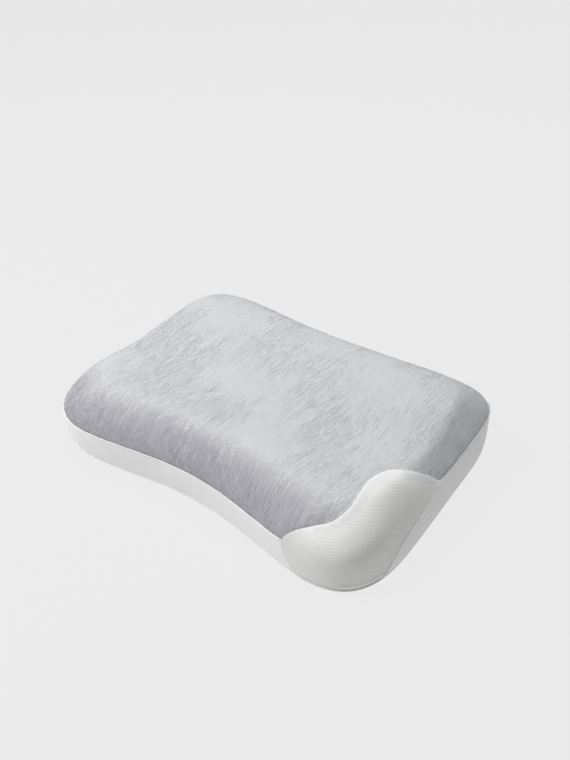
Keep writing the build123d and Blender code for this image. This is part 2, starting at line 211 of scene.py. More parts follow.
@dataclass
class PillowForm:
    """Outer shape of the pillow, which every panel lies on."""

    half_length: float = 281.2 * MM
    half_depth: float = 216.1 * MM
    front_power: float = 4.26
    back_power: float = 9.0
    front_hollow: float = 49.0 * MM
    back_hollow: float = 24.0 * MM
    taper: float = 0.09
    shift: float = 9.0 * MM
    valley: float = 99.4 * MM
    front_roll: tuple[float, float, float] = (7.5 * MM, -0.495, 0.31)
    back_roll: tuple[float, float, float] = (30.3 * MM, 0.4945, 0.45)
    seam_low: float = 53.4 * MM
    seam_high: float = 68.9 * MM
    round_long: float = 69.7 * MM
    round_short: float = 34.9 * MM
    round_power: float = 1.6
    foot_round: float = 9.6 * MM
    foot_power: float = 2.9
    centre_height: float = 58.0 * MM
    seam_climb: float = 0.86
    seam_climb_width: float = 0.045

    def station(self, points: np.ndarray) -> np.ndarray:
        """Share of the half length at each point, with the taper of the sides taken out."""
        narrowing = 1 - self.taper * (points[:, 1] + self.shift) / self.half_depth
        return points[:, 0] / narrowing / self.half_length

    def seam_height(self, station: np.ndarray) -> np.ndarray:
        """Height of the seam between the plush and the band."""
        rise = 1 / (1 + np.exp(-(np.abs(station) - self.seam_climb) / self.seam_climb_width))
        return self.seam_low + (self.seam_high - self.seam_low) * rise

    def roll_height(self, y: np.ndarray) -> np.ndarray:
        """Height of the two rolls and the valley between them.

        Args:
            y: Places from front to back.

        Returns:
            Height of the crown at each place.
        """
        place = (y + self.shift) / self.half_depth
        height = np.full_like(place, self.valley)
        for rise, centre, spread in (self.front_roll, self.back_roll):
            height = height + rise * bell(place - centre, spread)
        return height

    def shares(self, points: np.ndarray) -> tuple[np.ndarray, np.ndarray]:
        """How far each point is towards the short side and towards the long side, 1 on the surface.

        Args:
            points: Places in or near the pillow.

        Returns:
            The superellipse terms along X and along Y.
        """
        station = self.station(points)
        y = points[:, 1] + self.shift
        seam = self.seam_height(station)
        crown = self.roll_height(points[:, 1])
        rise = np.clip((points[:, 2] - seam) / (crown - seam), 0, 1)
        inward = 1 - np.cos(np.arcsin(rise ** (self.round_power / 2))) ** (2 / self.round_power)
        drop = np.clip(1 - points[:, 2] / seam, 0, 1)
        foot = 1 - np.cos(np.arcsin(drop ** (self.foot_power / 2))) ** (2 / self.foot_power)
        front = y < 0
        power = np.where(front, self.front_power, self.back_power)
        hollow = np.where(front, self.front_hollow, self.back_hollow) * (1 - np.minimum(station**2, 1)) ** 2
        across = np.abs(y) * self.half_depth / (self.half_depth - hollow)
        inset = self.foot_round * foot
        along = np.abs(station) * self.half_length / (self.half_length - self.round_short * inward - inset)
        across = across / (self.half_depth - self.round_long * inward - inset)
        return along**power, across**power

    def holds(self, points: np.ndarray) -> np.ndarray:
        """True for each point that is inside the pillow."""
        along, across = self.shares(points)
        return (along + across < 1) & (points[:, 2] > 0) & (points[:, 2] < self.roll_height(points[:, 1]))

    def project(self, points: np.ndarray) -> np.ndarray:
        """Moves points straight out from the middle of the pillow onto its surface.

        Args:
            points: Places round the pillow's middle.

        Returns:
            The same number of places, on the surface.
        """
        middle = np.array([0.0, 0.0, self.centre_height])
        rays = points - middle
        farthest = 3.0
        low, high = np.zeros(len(points)), np.full(len(points), farthest)
        for _ in range(HALVINGS):
            reach = (low + high) / 2
            inside = self.holds(middle + rays * reach[:, None])
            low = np.where(inside, reach, low)
            high = np.where(inside, high, reach)
        return middle + rays * low[:, None]

    def slide_out(self, points: np.ndarray, axis: int, start: float, end: float) -> np.ndarray:
        """Moves points along one axis onto the surface.

        Args:
            points: Places, of which the coordinate along the axis doesn't count.
            axis: Number of the axis.
            start: Coordinate that is inside the pillow.
            end: Coordinate that is outside it.

        Returns:
            Points on the surface.
        """
        placed = points.copy()
        low, high = np.full(len(points), start), np.full(len(points), end)
        for _ in range(HALVINGS):
            placed[:, axis] = (low + high) / 2
            inside = self.holds(placed)
            low = np.where(inside, placed[:, axis], low)
            high = np.where(inside, high, placed[:, axis])
        return placed

    def outward(self, points: np.ndarray) -> np.ndarray:
        """Outward directions at points on the surface.

        Args:
            points: Places on the surface.

        Returns:
            One direction of length 1 for each point.
        """
        step = 0.2 * MM
        slopes = []
        for axis in range(3):
            shift = np.zeros(3)
            shift[axis] = step
            ahead, behind = self.shares(points + shift), self.shares(points - shift)
            slopes.append(ahead[0] + ahead[1] - behind[0] - behind[1])
        found = np.stack(slopes, 1)
        return found / np.linalg.norm(found, axis=1)[:, None]

    def around(self, heights: Callable[[np.ndarray], np.ndarray], start: float, end: float,
               count: int) -> np.ndarray:
        """Line round the pillow's side at given heights.

        Args:
            heights: Height for each station along the pillow.
            start: First angle seen from above, in degrees from +X.
            end: Last angle.
            count: Number of places.

        Returns:
            Points on the surface.
        """
        angle = np.radians(np.linspace(start, end, count))
        first_guess = (0.3, 0.24, 0.0)
        rounds, halvings, farthest = 12, 30, 2.0
        points = np.stack([np.cos(angle), np.sin(angle), np.zeros(count)], 1) * np.array(first_guess)
        for _ in range(rounds):
            low, high = np.zeros(count), np.full(count, farthest)
            for _ in range(halvings):
                reach = (low + high) / 2
                trial = points * np.stack([reach, reach, np.ones(count)], 1)
                trial[:, 2] = heights(self.station(trial))
                inside = self.holds(trial)
                low = np.where(inside, reach, low)
                high = np.where(inside, high, reach)
            points = points * np.stack([low, low, np.ones(count)], 1)
        points[:, 2] = heights(self.station(points))
        return points

    def level(self, height: float, start: float, end: float, count: int) -> np.ndarray:
        """Level line round the pillow's side.

        Args:
            height: Height of the line.
            start: First angle seen from above, in degrees from +X.
            end: Last angle.
            count: Number of places.

        Returns:
            Points on the surface.
        """
        return self.around(lambda station: np.full_like(station, height), start, end, count)


@dataclass
class Pattern:
    """Where the cover is cut into panels."""

    form: PillowForm
    corner_curve: np.ndarray = field(default_factory=lambda: MM * smooth_path(
        [(164, -205), (187, -191), (212, -177), (231, -162), (238, -134), (231, -95), (236, -63),
         (255, -45), (271, -26), (284, -2), (297, 20)]))
    corner_front: np.ndarray = field(default_factory=lambda: MM * smooth_path(
        [(176, 90), (176, 46), (185, 22), (207, -6)]))
    corner_side: np.ndarray = field(default_factory=lambda: MM * smooth_path(
        [(3, 90), (-12, 72), (-38, 61), (-66, 56), (-92, 48), (-113, 36), (-127, 18), (-136, -6)]))
    # The corner lies to the right of the first number and in front of the second.
    corner_zone: tuple[float, float] = (100.0 * MM, 50.0 * MM)
    cut_zone: tuple[float, float] = (120.0 * MM, 80.0 * MM)
    cut_slack: float = 3.0 * MM
    tip_radius: float = 15.0 * MM
    tip_slant: float = 0.55
    # To the right of the first number, round the second, and no further from it than the third.
    tip_zone: tuple[float, float, float] = (240.0 * MM, 10.0 * MM, 50.0 * MM)
    left_zone: float = -200.0 * MM
    left_slack: float = 4.0 * MM
    bottom_height: float = 3.4 * MM
    right_start: float = 200.0 * MM
    left_front: float = -115.0 * MM
    left_back: float = 148.0 * MM
    zip_axis: Vector = field(default_factory=Vector)
    slot_along: tuple[float, float] = (0.0, 0.0)
    slot_heights: tuple[float, float] = (0.0, 0.0)

    def read_frame(self, frame: dict) -> None:
        """Takes the zip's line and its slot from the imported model.
        """
        joint = next(j for j in frame["joints"] if j["name"] == "zip_slide")
        self.zip_axis = Vector(joint["axis"]).normalized()
        along = [v.co @ self.zip_axis for v in frame["nodes"]["zip_tape_upper"].data.vertices]
        self.slot_along = (min(along), max(along))
        self.slot_heights = (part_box("zip_tape_lower")[0].z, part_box("zip_tape_upper")[1].z)

    @property
    def zip_height(self) -> float:
        """Height of the zip's centre line."""
        return sum(self.slot_heights) / 2

    def seam(self, points: np.ndarray) -> np.ndarray:
        """Height above the seam between plush and band."""
        return points[:, 2] - self.form.seam_height(self.form.station(points))

    def curve(self, points: np.ndarray) -> np.ndarray:
        """Distance inside the ribbed corner, seen from above."""
        return side_of_path(self.corner_curve, points[:, :2])

    def tip(self, points: np.ndarray) -> np.ndarray:
        """Positive inside the rounded end of the plush beside the ribbed corner.

        Args:
            points: Places on the cover.

        Returns:
            Signed distance from the rounded edge.
        """
        short = self.tip_radius
        down = np.clip(short - self.seam(points), 0, None)
        back = np.clip(short + self.curve(points) / self.tip_slant, 0, None)
        return short - np.hypot(down, back)

    def near_tip(self, points: np.ndarray) -> np.ndarray:
        """Positive round the rounded end of the plush."""
        right_of, middle, reach = self.tip_zone
        return np.minimum(points[:, 0] - right_of, reach - np.abs(points[:, 1] - middle))

    def near_corner(self, points: np.ndarray) -> np.ndarray:
        """Positive round the front right corner."""
        right_of, front_of = self.cut_zone
        return np.minimum(points[:, 0] - right_of, front_of - points[:, 1])

    def near_left(self, points: np.ndarray) -> np.ndarray:
        """Positive on the left band."""
        top = self.form.seam_high + self.left_slack
        return np.minimum(self.left_zone - points[:, 0], top - points[:, 2])

    def front_edge(self, points: np.ndarray) -> np.ndarray:
        """Distance inside the ribbed corner on the front band."""
        return np.where(points[:, 1] < 0, -side_of_path(self.corner_front, points[:, [0, 2]]), -1.0)

    def side_edge(self, points: np.ndarray) -> np.ndarray:
        """Distance inside the ribbed corner on the right band."""
        return np.where(points[:, 0] > 0, side_of_path(self.corner_side, points[:, 1:]), -1.0)

    def along_zip(self, points: np.ndarray) -> np.ndarray:
        """Place of each point along the zip."""
        return points @ np.array(self.zip_axis)

    def panels(self, points: np.ndarray) -> np.ndarray:
        """Number of the panel that each point of the cover belongs to.

        Args:
            points: Places on the cover.

        Returns:
            The value of a Panel for each point.
        """
        x, y, z = points.T
        right_of, front_of = self.corner_zone
        above = self.seam(points) > 0
        corner_band = (self.front_edge(points) > 0) & (self.side_edge(points) > 0)
        left = (x < 0) & (y > self.left_front) & (y < self.left_back)
        along = self.along_zip(points)
        slot = (left & (along > self.slot_along[0]) & (along < self.slot_along[1])
                & (z > self.slot_heights[0]) & (z < self.slot_heights[1]))
        found = np.where(x < self.right_start, Panel.FRONT.value, Panel.RIGHT.value)
        found = np.where((x < self.right_start) & (y > 0), Panel.BACK.value, found)
        found = np.where(left & (z > self.zip_height), Panel.LEFT_UPPER.value, found)
        found = np.where(left & (z <= self.zip_height), Panel.LEFT_LOWER.value, found)
        found = np.where(slot, Panel.SLOT.value, found)
        found = np.where(corner_band & (x > right_of) & (y < front_of), Panel.CORNER.value, found)
        found = np.where(z < self.bottom_height, Panel.BOTTOM.value, found)
        found = np.where(above, Panel.PLUSH.value, found)
        rounded_off = (self.near_tip(points) > 0) & (self.tip(points) < 0)
        return np.where(above & ((self.curve(points) > 0) | rounded_off), Panel.CORNER.value, found)


# ---------------------------------------------------------------- mesh helpers


def places(bm: bmesh.types.BMesh) -> np.ndarray:
    """Positions of a mesh's points, in order."""
    return np.array([v.co for v in bm.verts], float).reshape(-1, 3)


def move_to(bm: bmesh.types.BMesh, points: np.ndarray) -> None:
    """Puts each point of a mesh at a new position."""
    for vert, point in zip(bm.verts, points):
        vert.co = point


def normals(bm: bmesh.types.BMesh) -> np.ndarray:
    """Outward directions at a mesh's points."""
    bm.normal_update()
    return np.array([v.normal for v in bm.verts], float).reshape(-1, 3)


def cut(bm: bmesh.types.BMesh, line: Field, near: Optional[Field] = None) -> None:
    """Adds edges to a mesh along the line where a field changes sign.

    Args:
        bm: Mesh to cut.
        line: Signed distance from the line.
        near: Positive where the cut may go, everywhere if left out.
    """
    bm.verts.index_update()
    points = places(bm)
    value = line(points)
    value[np.abs(value) < TINY] = TINY
    allowed = np.ones(len(points), bool) if near is None else near(points) > 0
    fresh = []
    for edge in list(bm.edges):
        a, b = edge.verts
        fa, fb = value[a.index], value[b.index]
        if (fa > 0) != (fb > 0) and (allowed[a.index] or allowed[b.index]):
            fresh.append((edge, a, fa / (fa - fb)))
    verts = [bmesh.utils.edge_split(edge, vert, share)[1] for edge, vert, share in fresh]
    bmesh.ops.connect_verts(bm, verts=verts)


def make_object(bm: bmesh.types.BMesh, name: str, material: bpy.types.Material,
                smooth: bool = True) -> bpy.types.Object:
    """Turns a mesh in progress into a smooth object with one material.

    Args:
        bm: Finished mesh, which is freed.
        name: Name of the piece.
        material: Its finish.
        smooth: Whether light runs smoothly over its faces.

    Returns:
        The new object, linked to the scene.
    """
    mesh = bpy.data.meshes.new(name)
    bm.to_mesh(mesh)
    bm.free()
    mesh.polygons.foreach_set("use_smooth", np.full(len(mesh.polygons), smooth))
    mesh.materials.append(material)
    piece = bpy.data.objects.new(name, mesh)
    bpy.context.scene.collection.objects.link(piece)
    return piece


def soften(bm: bmesh.types.BMesh, passes: int) -> None:
    """Relaxes a panel like stretched cloth, with its edge held still.

    Args:
        bm: Panel to relax.
        passes: How many times.
    """
    inner = [v for v in bm.verts if not v.is_boundary]
    for _ in range(passes):
        bmesh.ops.smooth_vert(bm, verts=inner, factor=0.5, use_axis_x=True, use_axis_y=True,
                              use_axis_z=True)


def rim_of(bm: bmesh.types.BMesh) -> tuple[np.ndarray, np.ndarray]:
    """Follows the open edge of a panel all the way round.

    Args:
        bm: Panel with one open edge.

    Returns:
        Points along the edge, and the outward directions there.
    """
    bm.normal_update()
    edges = [edge for edge in bm.edges if edge.is_boundary]
    start = here = edges[0].verts[0]
    taken = None
    found = [start]
    while True:
        taken = next(edge for edge in here.link_edges if edge.is_boundary and edge is not taken)
        here = taken.other_vert(here)
        if here is start:
            break
        found.append(here)
    return np.array([v.co for v in found]), np.array([v.normal for v in found])


def vertex_array(mesh: bpy.types.Mesh) -> np.ndarray:
    """Positions of a finished mesh's points.

    Args:
        mesh: The mesh.

    Returns:
        One row for each point.
    """
    flat = np.zeros(len(mesh.vertices) * 3, np.float32)
    mesh.vertices.foreach_get("co", flat)
    return flat.reshape(-1, 3).astype(float)


def store_uv(piece: bpy.types.Object, values: np.ndarray) -> None:
    """Gives a mesh a UV map that places it on the cloth.

    Args:
        piece: The mesh's object.
        values: One pair of numbers for each point.
    """
    mesh = piece.data
    layer = mesh.uv_layers.new(name="cloth")
    corner = np.zeros(len(mesh.loops), np.int32)
    mesh.loops.foreach_get("vertex_index", corner)
    layer.data.foreach_set("uv", values[corner].astype(np.float32).ravel())


def store_value(piece: bpy.types.Object, name: str, values: np.ndarray) -> None:
    """Gives a mesh a named number for each point."""
    attribute = piece.data.attributes.new(name, "FLOAT", "POINT")
    attribute.data.foreach_set("value", values.astype(np.float32))


def thicken(piece: bpy.types.Object, thickness: float) -> None:
    """Gives an open panel a wall on its inner side.

    Args:
        piece: The panel.
        thickness: Thickness of the wall.
    """
    wall = piece.modifiers.new("wall", "SOLIDIFY")
    wall.thickness = thickness
    wall.offset = -1.0
    wall.use_rim = True


def strand(name: str, lines: Sequence[np.ndarray], radius: float, material: bpy.types.Material,
           closed: bool = False, sides: int = 2) -> bpy.types.Object:
    """Makes round cord along one or more lines, as one mesh.

    Args:
        name: Name of the piece.
        lines: Points of each line.
        radius: Radius of the cord.
        material: Its finish.
        closed: Whether each line joins its own start.
        sides: Roundness of the cord.

    Returns:
        The cord's object.
    """
    curve = bpy.data.curves.new(name, "CURVE")
    curve.dimensions = "3D"
    curve.bevel_depth = radius
    curve.bevel_resolution = sides
    curve.use_fill_caps = not closed
    for line in lines:
        spline = curve.splines.new("POLY")
        spline.points.add(len(line) - 1)
        with_weight = np.column_stack([line, np.ones(len(line))]).astype(np.float32)
        spline.points.foreach_set("co", with_weight.ravel())
        spline.use_cyclic_u = closed
    holder = bpy.data.objects.new(name, curve)
    bpy.context.scene.collection.objects.link(holder)
    bpy.context.view_layer.update()
    mesh = bpy.data.meshes.new_from_object(holder.evaluated_get(bpy.context.evaluated_depsgraph_get()))
    bpy.data.objects.remove(holder)
    bm = bmesh.new()
    bm.from_mesh(mesh)
    bpy.data.meshes.remove(mesh)
    bmesh.ops.remove_doubles(bm, verts=bm.verts, dist=WELD)
    bmesh.ops.recalc_face_normals(bm, faces=bm.faces)
    return make_object(bm, name, material)


def dashes(line: np.ndarray, length: float = 2.8 * MM, gap: float = 0.7 * MM) -> list[np.ndarray]:
    """Cuts a line into stitches that dip into the cloth at both ends.

    Args:
        line: Points along the seam.
        length: Length of one stitch.
        gap: Space between two stitches.

    Returns:
        Points of each stitch.
    """
    steps = np.linalg.norm(np.diff(line, axis=0), axis=1)
    travelled = np.concatenate([[0], np.cumsum(steps)])
    starts = np.arange(gap, travelled[-1] - length, length + gap)
    shares = np.linspace(0, 1, 4)
    result = []
    for start in starts:
        at = start + shares * length
        result.append(np.stack([np.interp(at, travelled, line[:, k]) for k in range(3)], 1))
    return result


def search_tree(points: np.ndarray) -> KDTree:
    """Prepares points so that the nearest one to a place is found fast.

    Args:
        points: Points to search.

    Returns:
        The search tree.
    """
    tree = KDTree(len(points))
    for number, point in enumerate(points):
        tree.insert(point, number)
    tree.balance()
    return tree


def fasten(piece: bpy.types.Object, node: Optional[str] = None) -> None:
    """Makes a piece ride on the pillow.

    Args:
        piece: The piece.
        node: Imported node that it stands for, if there is one.
    """
    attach(piece, BODY)
    if node:
        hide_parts(node)


# ---------------------------------------------------------------- shader maths


class Signal:
    """Output of a shader node that takes part in plain arithmetic."""

    def __init__(self, shader: "Shader", socket: bpy.types.NodeSocket) -> None:
        """Wraps a socket."""
        self.shader = shader
        self.socket = socket

    def _math(self, operation: str, first: "Operand", second: "Operand" = 0.0) -> "Signal":
        """Adds a Math node."""
        return self.shader.signal("ShaderNodeMath", {"operation": operation}, {0: first, 1: second})

    def __add__(self, other: "Operand") -> "Signal":
        """Sum."""
        return self._math("ADD", self, other)

    __radd__ = __add__

    def __sub__(self, other: "Operand") -> "Signal":
        """Difference."""
        return self._math("SUBTRACT", self, other)

    def __rsub__(self, other: "Operand") -> "Signal":
        """Difference from a number."""
        return self._math("SUBTRACT", other, self)

    def __mul__(self, other: "Operand") -> "Signal":
        """Product."""
        return self._math("MULTIPLY", self, other)

    __rmul__ = __mul__

    def wave(self) -> "Signal":
        """Sine."""
        return self._math("SINE", self)

    def spread(self, low: float, high: float) -> "Signal":
        """Maps low to high onto 0 to 1, and stops there."""
        return self.shader.signal("ShaderNodeMapRange", {"clamp": True},
                                  {0: self, 1: low, 2: high, 3: 0.0, 4: 1.0})


Operand = Union[Signal, float, int]
Colour = tuple[float, float, float]


class Shader:
    """One material in the making."""

    def __init__(self, name: str, roughness: float, sheen: float = 0.0, sheen_tint: Colour = (1, 1, 1),
                 specular: float = 0.5) -> None:
        """Starts a material.

        Args:
            name: Name of the material.
            roughness: Roughness, the same all over unless dress() varies it.
            sheen: Strength of the soft edge glow that fibres give.
            sheen_tint: Its colour.
            specular: Strength of the gloss.
        """
        self.material = bpy.data.materials.new(name)
        self.material.use_nodes = True
        self.tree = self.material.node_tree
        self.principled = self.tree.nodes["Principled BSDF"]
        self.principled.inputs["Roughness"].default_value = roughness
        self.principled.inputs["Sheen Weight"].default_value = sheen
        self.principled.inputs["Sheen Roughness"].default_value = 0.6
        self.principled.inputs["Sheen Tint"].default_value = (*sheen_tint, 1.0)
        self.principled.inputs["Specular IOR Level"].default_value = specular

    def node(self, kind: str, settings: Optional[dict] = None,
             inputs: Optional[dict] = None) -> bpy.types.Node:
        """Adds any node.

        Args:
            kind: Type of the node.
            settings: Its settings, which are set first.
            inputs: Numbers, colours or signals for its sockets, by name or place.

        Returns:
            The node.
        """
        made = self.tree.nodes.new(kind)
        for key, value in (settings or {}).items():
            setattr(made, key, value)
        for key, value in (inputs or {}).items():
            if isinstance(value, Signal):
                self.tree.links.new(value.socket, made.inputs[key])
            else:
                made.inputs[key].default_value = value
        return made

    def signal(self, kind: str, settings: Optional[dict] = None, inputs: Optional[dict] = None,
               output: Union[int, str] = 0) -> Signal:
        """Adds a node and returns one of its outputs."""
        return Signal(self, self.node(kind, settings, inputs).outputs[output])

    def place(self) -> Signal:
        """Position on the piece."""
        return self.signal("ShaderNodeTexCoord", output="Object")

    def cloth(self) -> Signal:
        """Position on the cloth, from the piece's UV map."""
        return self.signal("ShaderNodeUVMap", {"uv_map": "cloth"})

    def number(self, name: str) -> Signal:
        """Value that the piece stores for each point."""
        return self.signal("ShaderNodeAttribute", {"attribute_name": name}, output="Fac")

    def part(self, vector: Signal, axis: str) -> Signal:
        """One part of a vector."""
        return self.signal("ShaderNodeSeparateXYZ", inputs={0: vector}, output=axis)

    def stretched(self, vector: Signal, scale: tuple[float, float, float]) -> Signal:
        """Scales a position."""
        return self.signal("ShaderNodeMapping", inputs={"Vector": vector, "Scale": scale})

    def noise(self, vector: Signal, scale: float, detail: float = 3.0, roughness: float = 0.55) -> Signal:
        """Cloudy noise between 0 and 1."""
        return self.signal("ShaderNodeTexNoise", {"noise_dimensions": "3D"},
                           {"Vector": vector, "Scale": scale, "Detail": detail, "Roughness": roughness})

    def blend(self, share: Signal, low: Colour, high: Colour) -> Signal:
        """Mixes two colours."""
        colours = {6: (*low, 1.0), 7: (*high, 1.0)}
        return self.signal("ShaderNodeMix", {"data_type": "RGBA"}, {0: share, **colours}, output=2)

    def dress(self, colour: Signal, height: Optional[Signal] = None, distance: float = 0.0,
              strength: float = 1.0, roughness: Optional[Signal] = None) -> bpy.types.Material:
        """Connects colour, bump and roughness, and returns the material.

        Args:
            colour: Base colour.
            height: Height of the surface detail, 0 to 1.
            distance: Real height in metres that 1 stands for.
            strength: Strength of the bump.
            roughness: Roughness where it varies.

        Returns:
            The finished material.
        """
        self.tree.links.new(colour.socket, self.principled.inputs["Base Color"])
        if height is not None:
            bump = self.signal("ShaderNodeBump", inputs={"Height": height, "Distance": distance,
                                                         "Strength": strength}, output="Normal")
            self.tree.links.new(bump.socket, self.principled.inputs["Normal"])
        if roughness is not None:
            self.tree.links.new(roughness.socket, self.principled.inputs["Roughness"])
        return self.material


@dataclass(frozen=True)
class PlushFinish:
    """Short brushed pile in light grey, with painted shade on the sides that face front and left, where the
    pile turns down.
    """

    light: Colour = (0.597, 0.605, 0.613)
    # Colour of the painted shade on the sides that face front and left; also the dark end of the random
    # streaks.
    dark: Colour = (0.345, 0.33, 0.37)
    tips: Colour = (0.80, 0.81, 0.82)
    sheen: float = 0.3

    def make(self, name: str, locks: bool = False) -> bpy.types.Material:
        """Builds the material.

        Args:
            name: Name of the material.
            locks: True for the separate locks of pile, which have a shade each.

        Returns:
            The material.
        """
        shader = Shader(name, 0.85, self.sheen, (0.95, 0.96, 1.0), 0.2)
        nap_and_painted_shade = shader.number("nap_and_painted_shade")
        if locks:
            # Each lock takes the painted shade of the sides that face front and left, plus a random shade of
            # its own.
            shade = (nap_and_painted_shade * 0.6 + (shader.number("lock") - 0.5) * 0.5 + 0.25).spread(0.0, 1.0)
            return shader.dress(shader.blend(shade, self.tips, self.dark))
        cloth = shader.cloth()
        fine = shader.noise(shader.stretched(cloth, (1.0, 0.07, 1.0)), 900.0, 3.0, 0.6)
        streak = shader.noise(shader.stretched(cloth, (1.0, 0.06, 1.0)), 380.0, 3.0, 0.6)
        patch = shader.noise(cloth, 13.0, 3.0)
        broad = shader.noise(cloth, 38.0, 2.0)
        rough_patch = patch.spread(0.42, 0.62)
        # The first term is painted shade on the sides that face front and left; the other terms are random
        # tone.
        shade = (nap_and_painted_shade * 0.9 + (patch - 0.5) * 0.25 + (broad - 0.5) * 0.15
                 + (streak - 0.5) * rough_patch * 0.55 + (fine - 0.5) * 0.22).spread(0.0, 1.0)
        height = streak * rough_patch * 0.6 + fine * 0.4
        return shader.dress(shader.blend(shade, self.light, self.dark), height, 0.6 * MM, 0.5)


@dataclass(frozen=True)
class KnitFinish:
    """Close white knit: rows of small loops with faint soiling and slub."""

    light: Colour = (0.84, 0.84, 0.84)
    dark: Colour = (0.73, 0.725, 0.725)
    loop: float = 1.1 * MM
    bump: float = 0.18 * MM
    sheen: float = 0.15

    def make(self, name: str) -> bpy.types.Material:
        """Builds the material.

        Args:
            name: Name of the material.

        Returns:
            The material.
        """
        shader = Shader(name, 0.8, self.sheen, specular=0.25)
        cloth = shader.cloth()
        turn = 2 * math.pi / self.loop
        across = shader.part(cloth, "X")
        up = shader.part(cloth, "Y")
        wobble = shader.noise(cloth, 90.0, 2.0) * 5.0
        column = (across * turn + wobble).wave()
        row = (up * turn * 1.3 + column * 1.2).wave()
        loops = (column * 0.5 + row * 0.5 + 1.0) * 0.5
        cloudy = shader.noise(cloth, 16.0, 3.0)
        slub = shader.noise(shader.stretched(cloth, (0.25, 1.0, 1.0)), 240.0, 2.0)
        soiling = cloudy.spread(0.3, 0.75) * 0.5
        # The last term is painted shade in the gaps between the loops; soiling and slub are random tone.
        shade = (soiling + (slub - 0.5) * 0.5 + (1.0 - loops) * 0.07).spread(0.0, 1.0)
        height = loops * 0.5 + slub * 0.6
        return shader.dress(shader.blend(shade, self.light, self.dark), height, self.bump, 0.5)


@dataclass(frozen=True)
class RibFinish:
    """White ribbed knit of the corner panel, with painted light near its rolled edge and painted shade in the
    grooves; the ribs themselves are in the mesh.
    """

    light: Colour = (0.90, 0.90, 0.89)
    dark: Colour = (0.60, 0.59, 0.58)

    def make(self, name: str) -> bpy.types.Material:
        """Builds the material.

        Args:
            name: Name of the material.

        Returns:
            The material.
        """
        shader = Shader(name, 0.85, 0.15, specular=0.2)
        rib = shader.number("rib")
        edge = shader.number("edge")
        place = shader.place()
        yarn = shader.noise(shader.stretched(place, (0.35, 0.6, 1.0)), 620.0, 2.0)
        cloudy = shader.noise(place, 18.0, 3.0)
        # Painted light: the edge value makes the cloth lighter near the rolled edge. Painted shade: the
        # grooves between ribs are darker. Cloud and yarn are random tone.
        shade = (0.34 - edge * 0.55 + (1.0 - rib) * 0.24 + cloudy.spread(0.35, 0.8) * 0.2
                 + (yarn - 0.5) * 0.25).spread(0.0, 1.0)
        return shader.dress(shader.blend(shade, self.light, self.dark), yarn + rib * 0.5, 0.25 * MM, 0.5)


@dataclass(frozen=True)
class ThreadFinish:
    """Twisted thread or cloth-covered cord."""

    colour: Colour = (0.92, 0.92, 0.92)
    shadow: Colour = (0.76, 0.76, 0.77)
    twist: float = 1500.0

    def make(self, name: str) -> bpy.types.Material:
        """Builds the material.

        Args:
            name: Name of the material.

        Returns:
            The material.
        """
        shader = Shader(name, 0.75, 0.15, specular=0.3)
        place = shader.place()
        lay = shader.noise(place, self.twist, 2.0)
        soft = shader.noise(place, 60.0, 2.0)
        shade = ((lay - 0.5) * 0.6 + soft * 0.3).spread(0.0, 1.0)
        return shader.dress(shader.blend(shade, self.colour, self.shadow), lay, 0.1 * MM, 0.4)


@dataclass(frozen=True)
class FoamFinish:
    """Open-cell foam with fine pores."""

    light: Colour = (0.88, 0.86, 0.79)
    dark: Colour = (0.76, 0.72, 0.62)

    def make(self, name: str) -> bpy.types.Material:
        """Builds the material.

        Args:
            name: Name of the material.

        Returns:
            The material.
        """
        shader = Shader(name, 0.9, specular=0.2)
        place = shader.place()
        cells = shader.signal("ShaderNodeTexVoronoi", {"feature": "F1"}, {"Vector": place, "Scale": 900.0})
        cloudy = shader.noise(place, 22.0, 3.0)
        # The second term is painted shade in the pores; the cloud is random tone.
        shade = (cloudy.spread(0.3, 0.8) * 0.5 + (1.0 - cells) * 0.3).spread(0.0, 1.0)
        return shader.dress(shader.blend(shade, self.light, self.dark), cells, 0.3 * MM, 0.5)


@dataclass(frozen=True)
class WovenFinish:
    """Plain weave of a tape or label."""

    light: Colour = (0.82, 0.82, 0.83)
    dark: Colour = (0.62, 0.62, 0.64)
    pitch: float = 0.6 * MM
    roughness: float = 0.75

    def make(self, name: str) -> bpy.types.Material:
        """Builds the material.

        Args:
            name: Name of the material.

        Returns:
            The material.
        """
        shader = Shader(name, self.roughness, 0.1, specular=0.3)
        place = shader.place()
        turn = 2 * math.pi / self.pitch
        warp = (shader.part(place, "Y") * turn).wave()
        weft = (shader.part(place, "Z") * turn).wave()
        weave = (warp * weft + 1.0) * 0.5
        cloudy = shader.noise(place, 70.0, 2.0)
        # The first term is painted shade in the dips of the weave; the cloud is random tone.
        shade = ((1.0 - weave) * 0.35 + cloudy * 0.3).spread(0.0, 1.0)
        return shader.dress(shader.blend(shade, self.light, self.dark), weave, 0.12 * MM, 0.5)


@dataclass(frozen=True)
class HardFinish:
    """Moulded plastic or enamelled metal with fine wear."""

    light: Colour
    dark: Colour
    roughness: float
    metallic: float = 0.0

    def make(self, name: str) -> bpy.types.Material:
        """Builds the material.

        Args:
            name: Name of the material.

        Returns:
            The material.
        """
        shader = Shader(name, self.roughness)
        shader.principled.inputs["Metallic"].default_value = self.metallic
        place = shader.place()
        grain = shader.noise(place, 1800.0, 2.0)
        cloudy = shader.noise(place, 160.0, 3.0)
        shade = (cloudy.spread(0.35, 0.8) * 0.6 + (grain - 0.5) * 0.3).spread(0.0, 1.0)
        rough = shade * 0.2 + self.roughness
        return shader.dress(shader.blend(shade, self.light, self.dark), grain, 0.05 * MM, 0.3, rough)


# ---------------------------------------------------------------- sub-assemblies


@dataclass(frozen=True)
class Lamp:
    """Large square lamp that faces the pillow, with its power in watts."""

    name: str
    place: tuple[float, float, float]
    power: float
    size: float


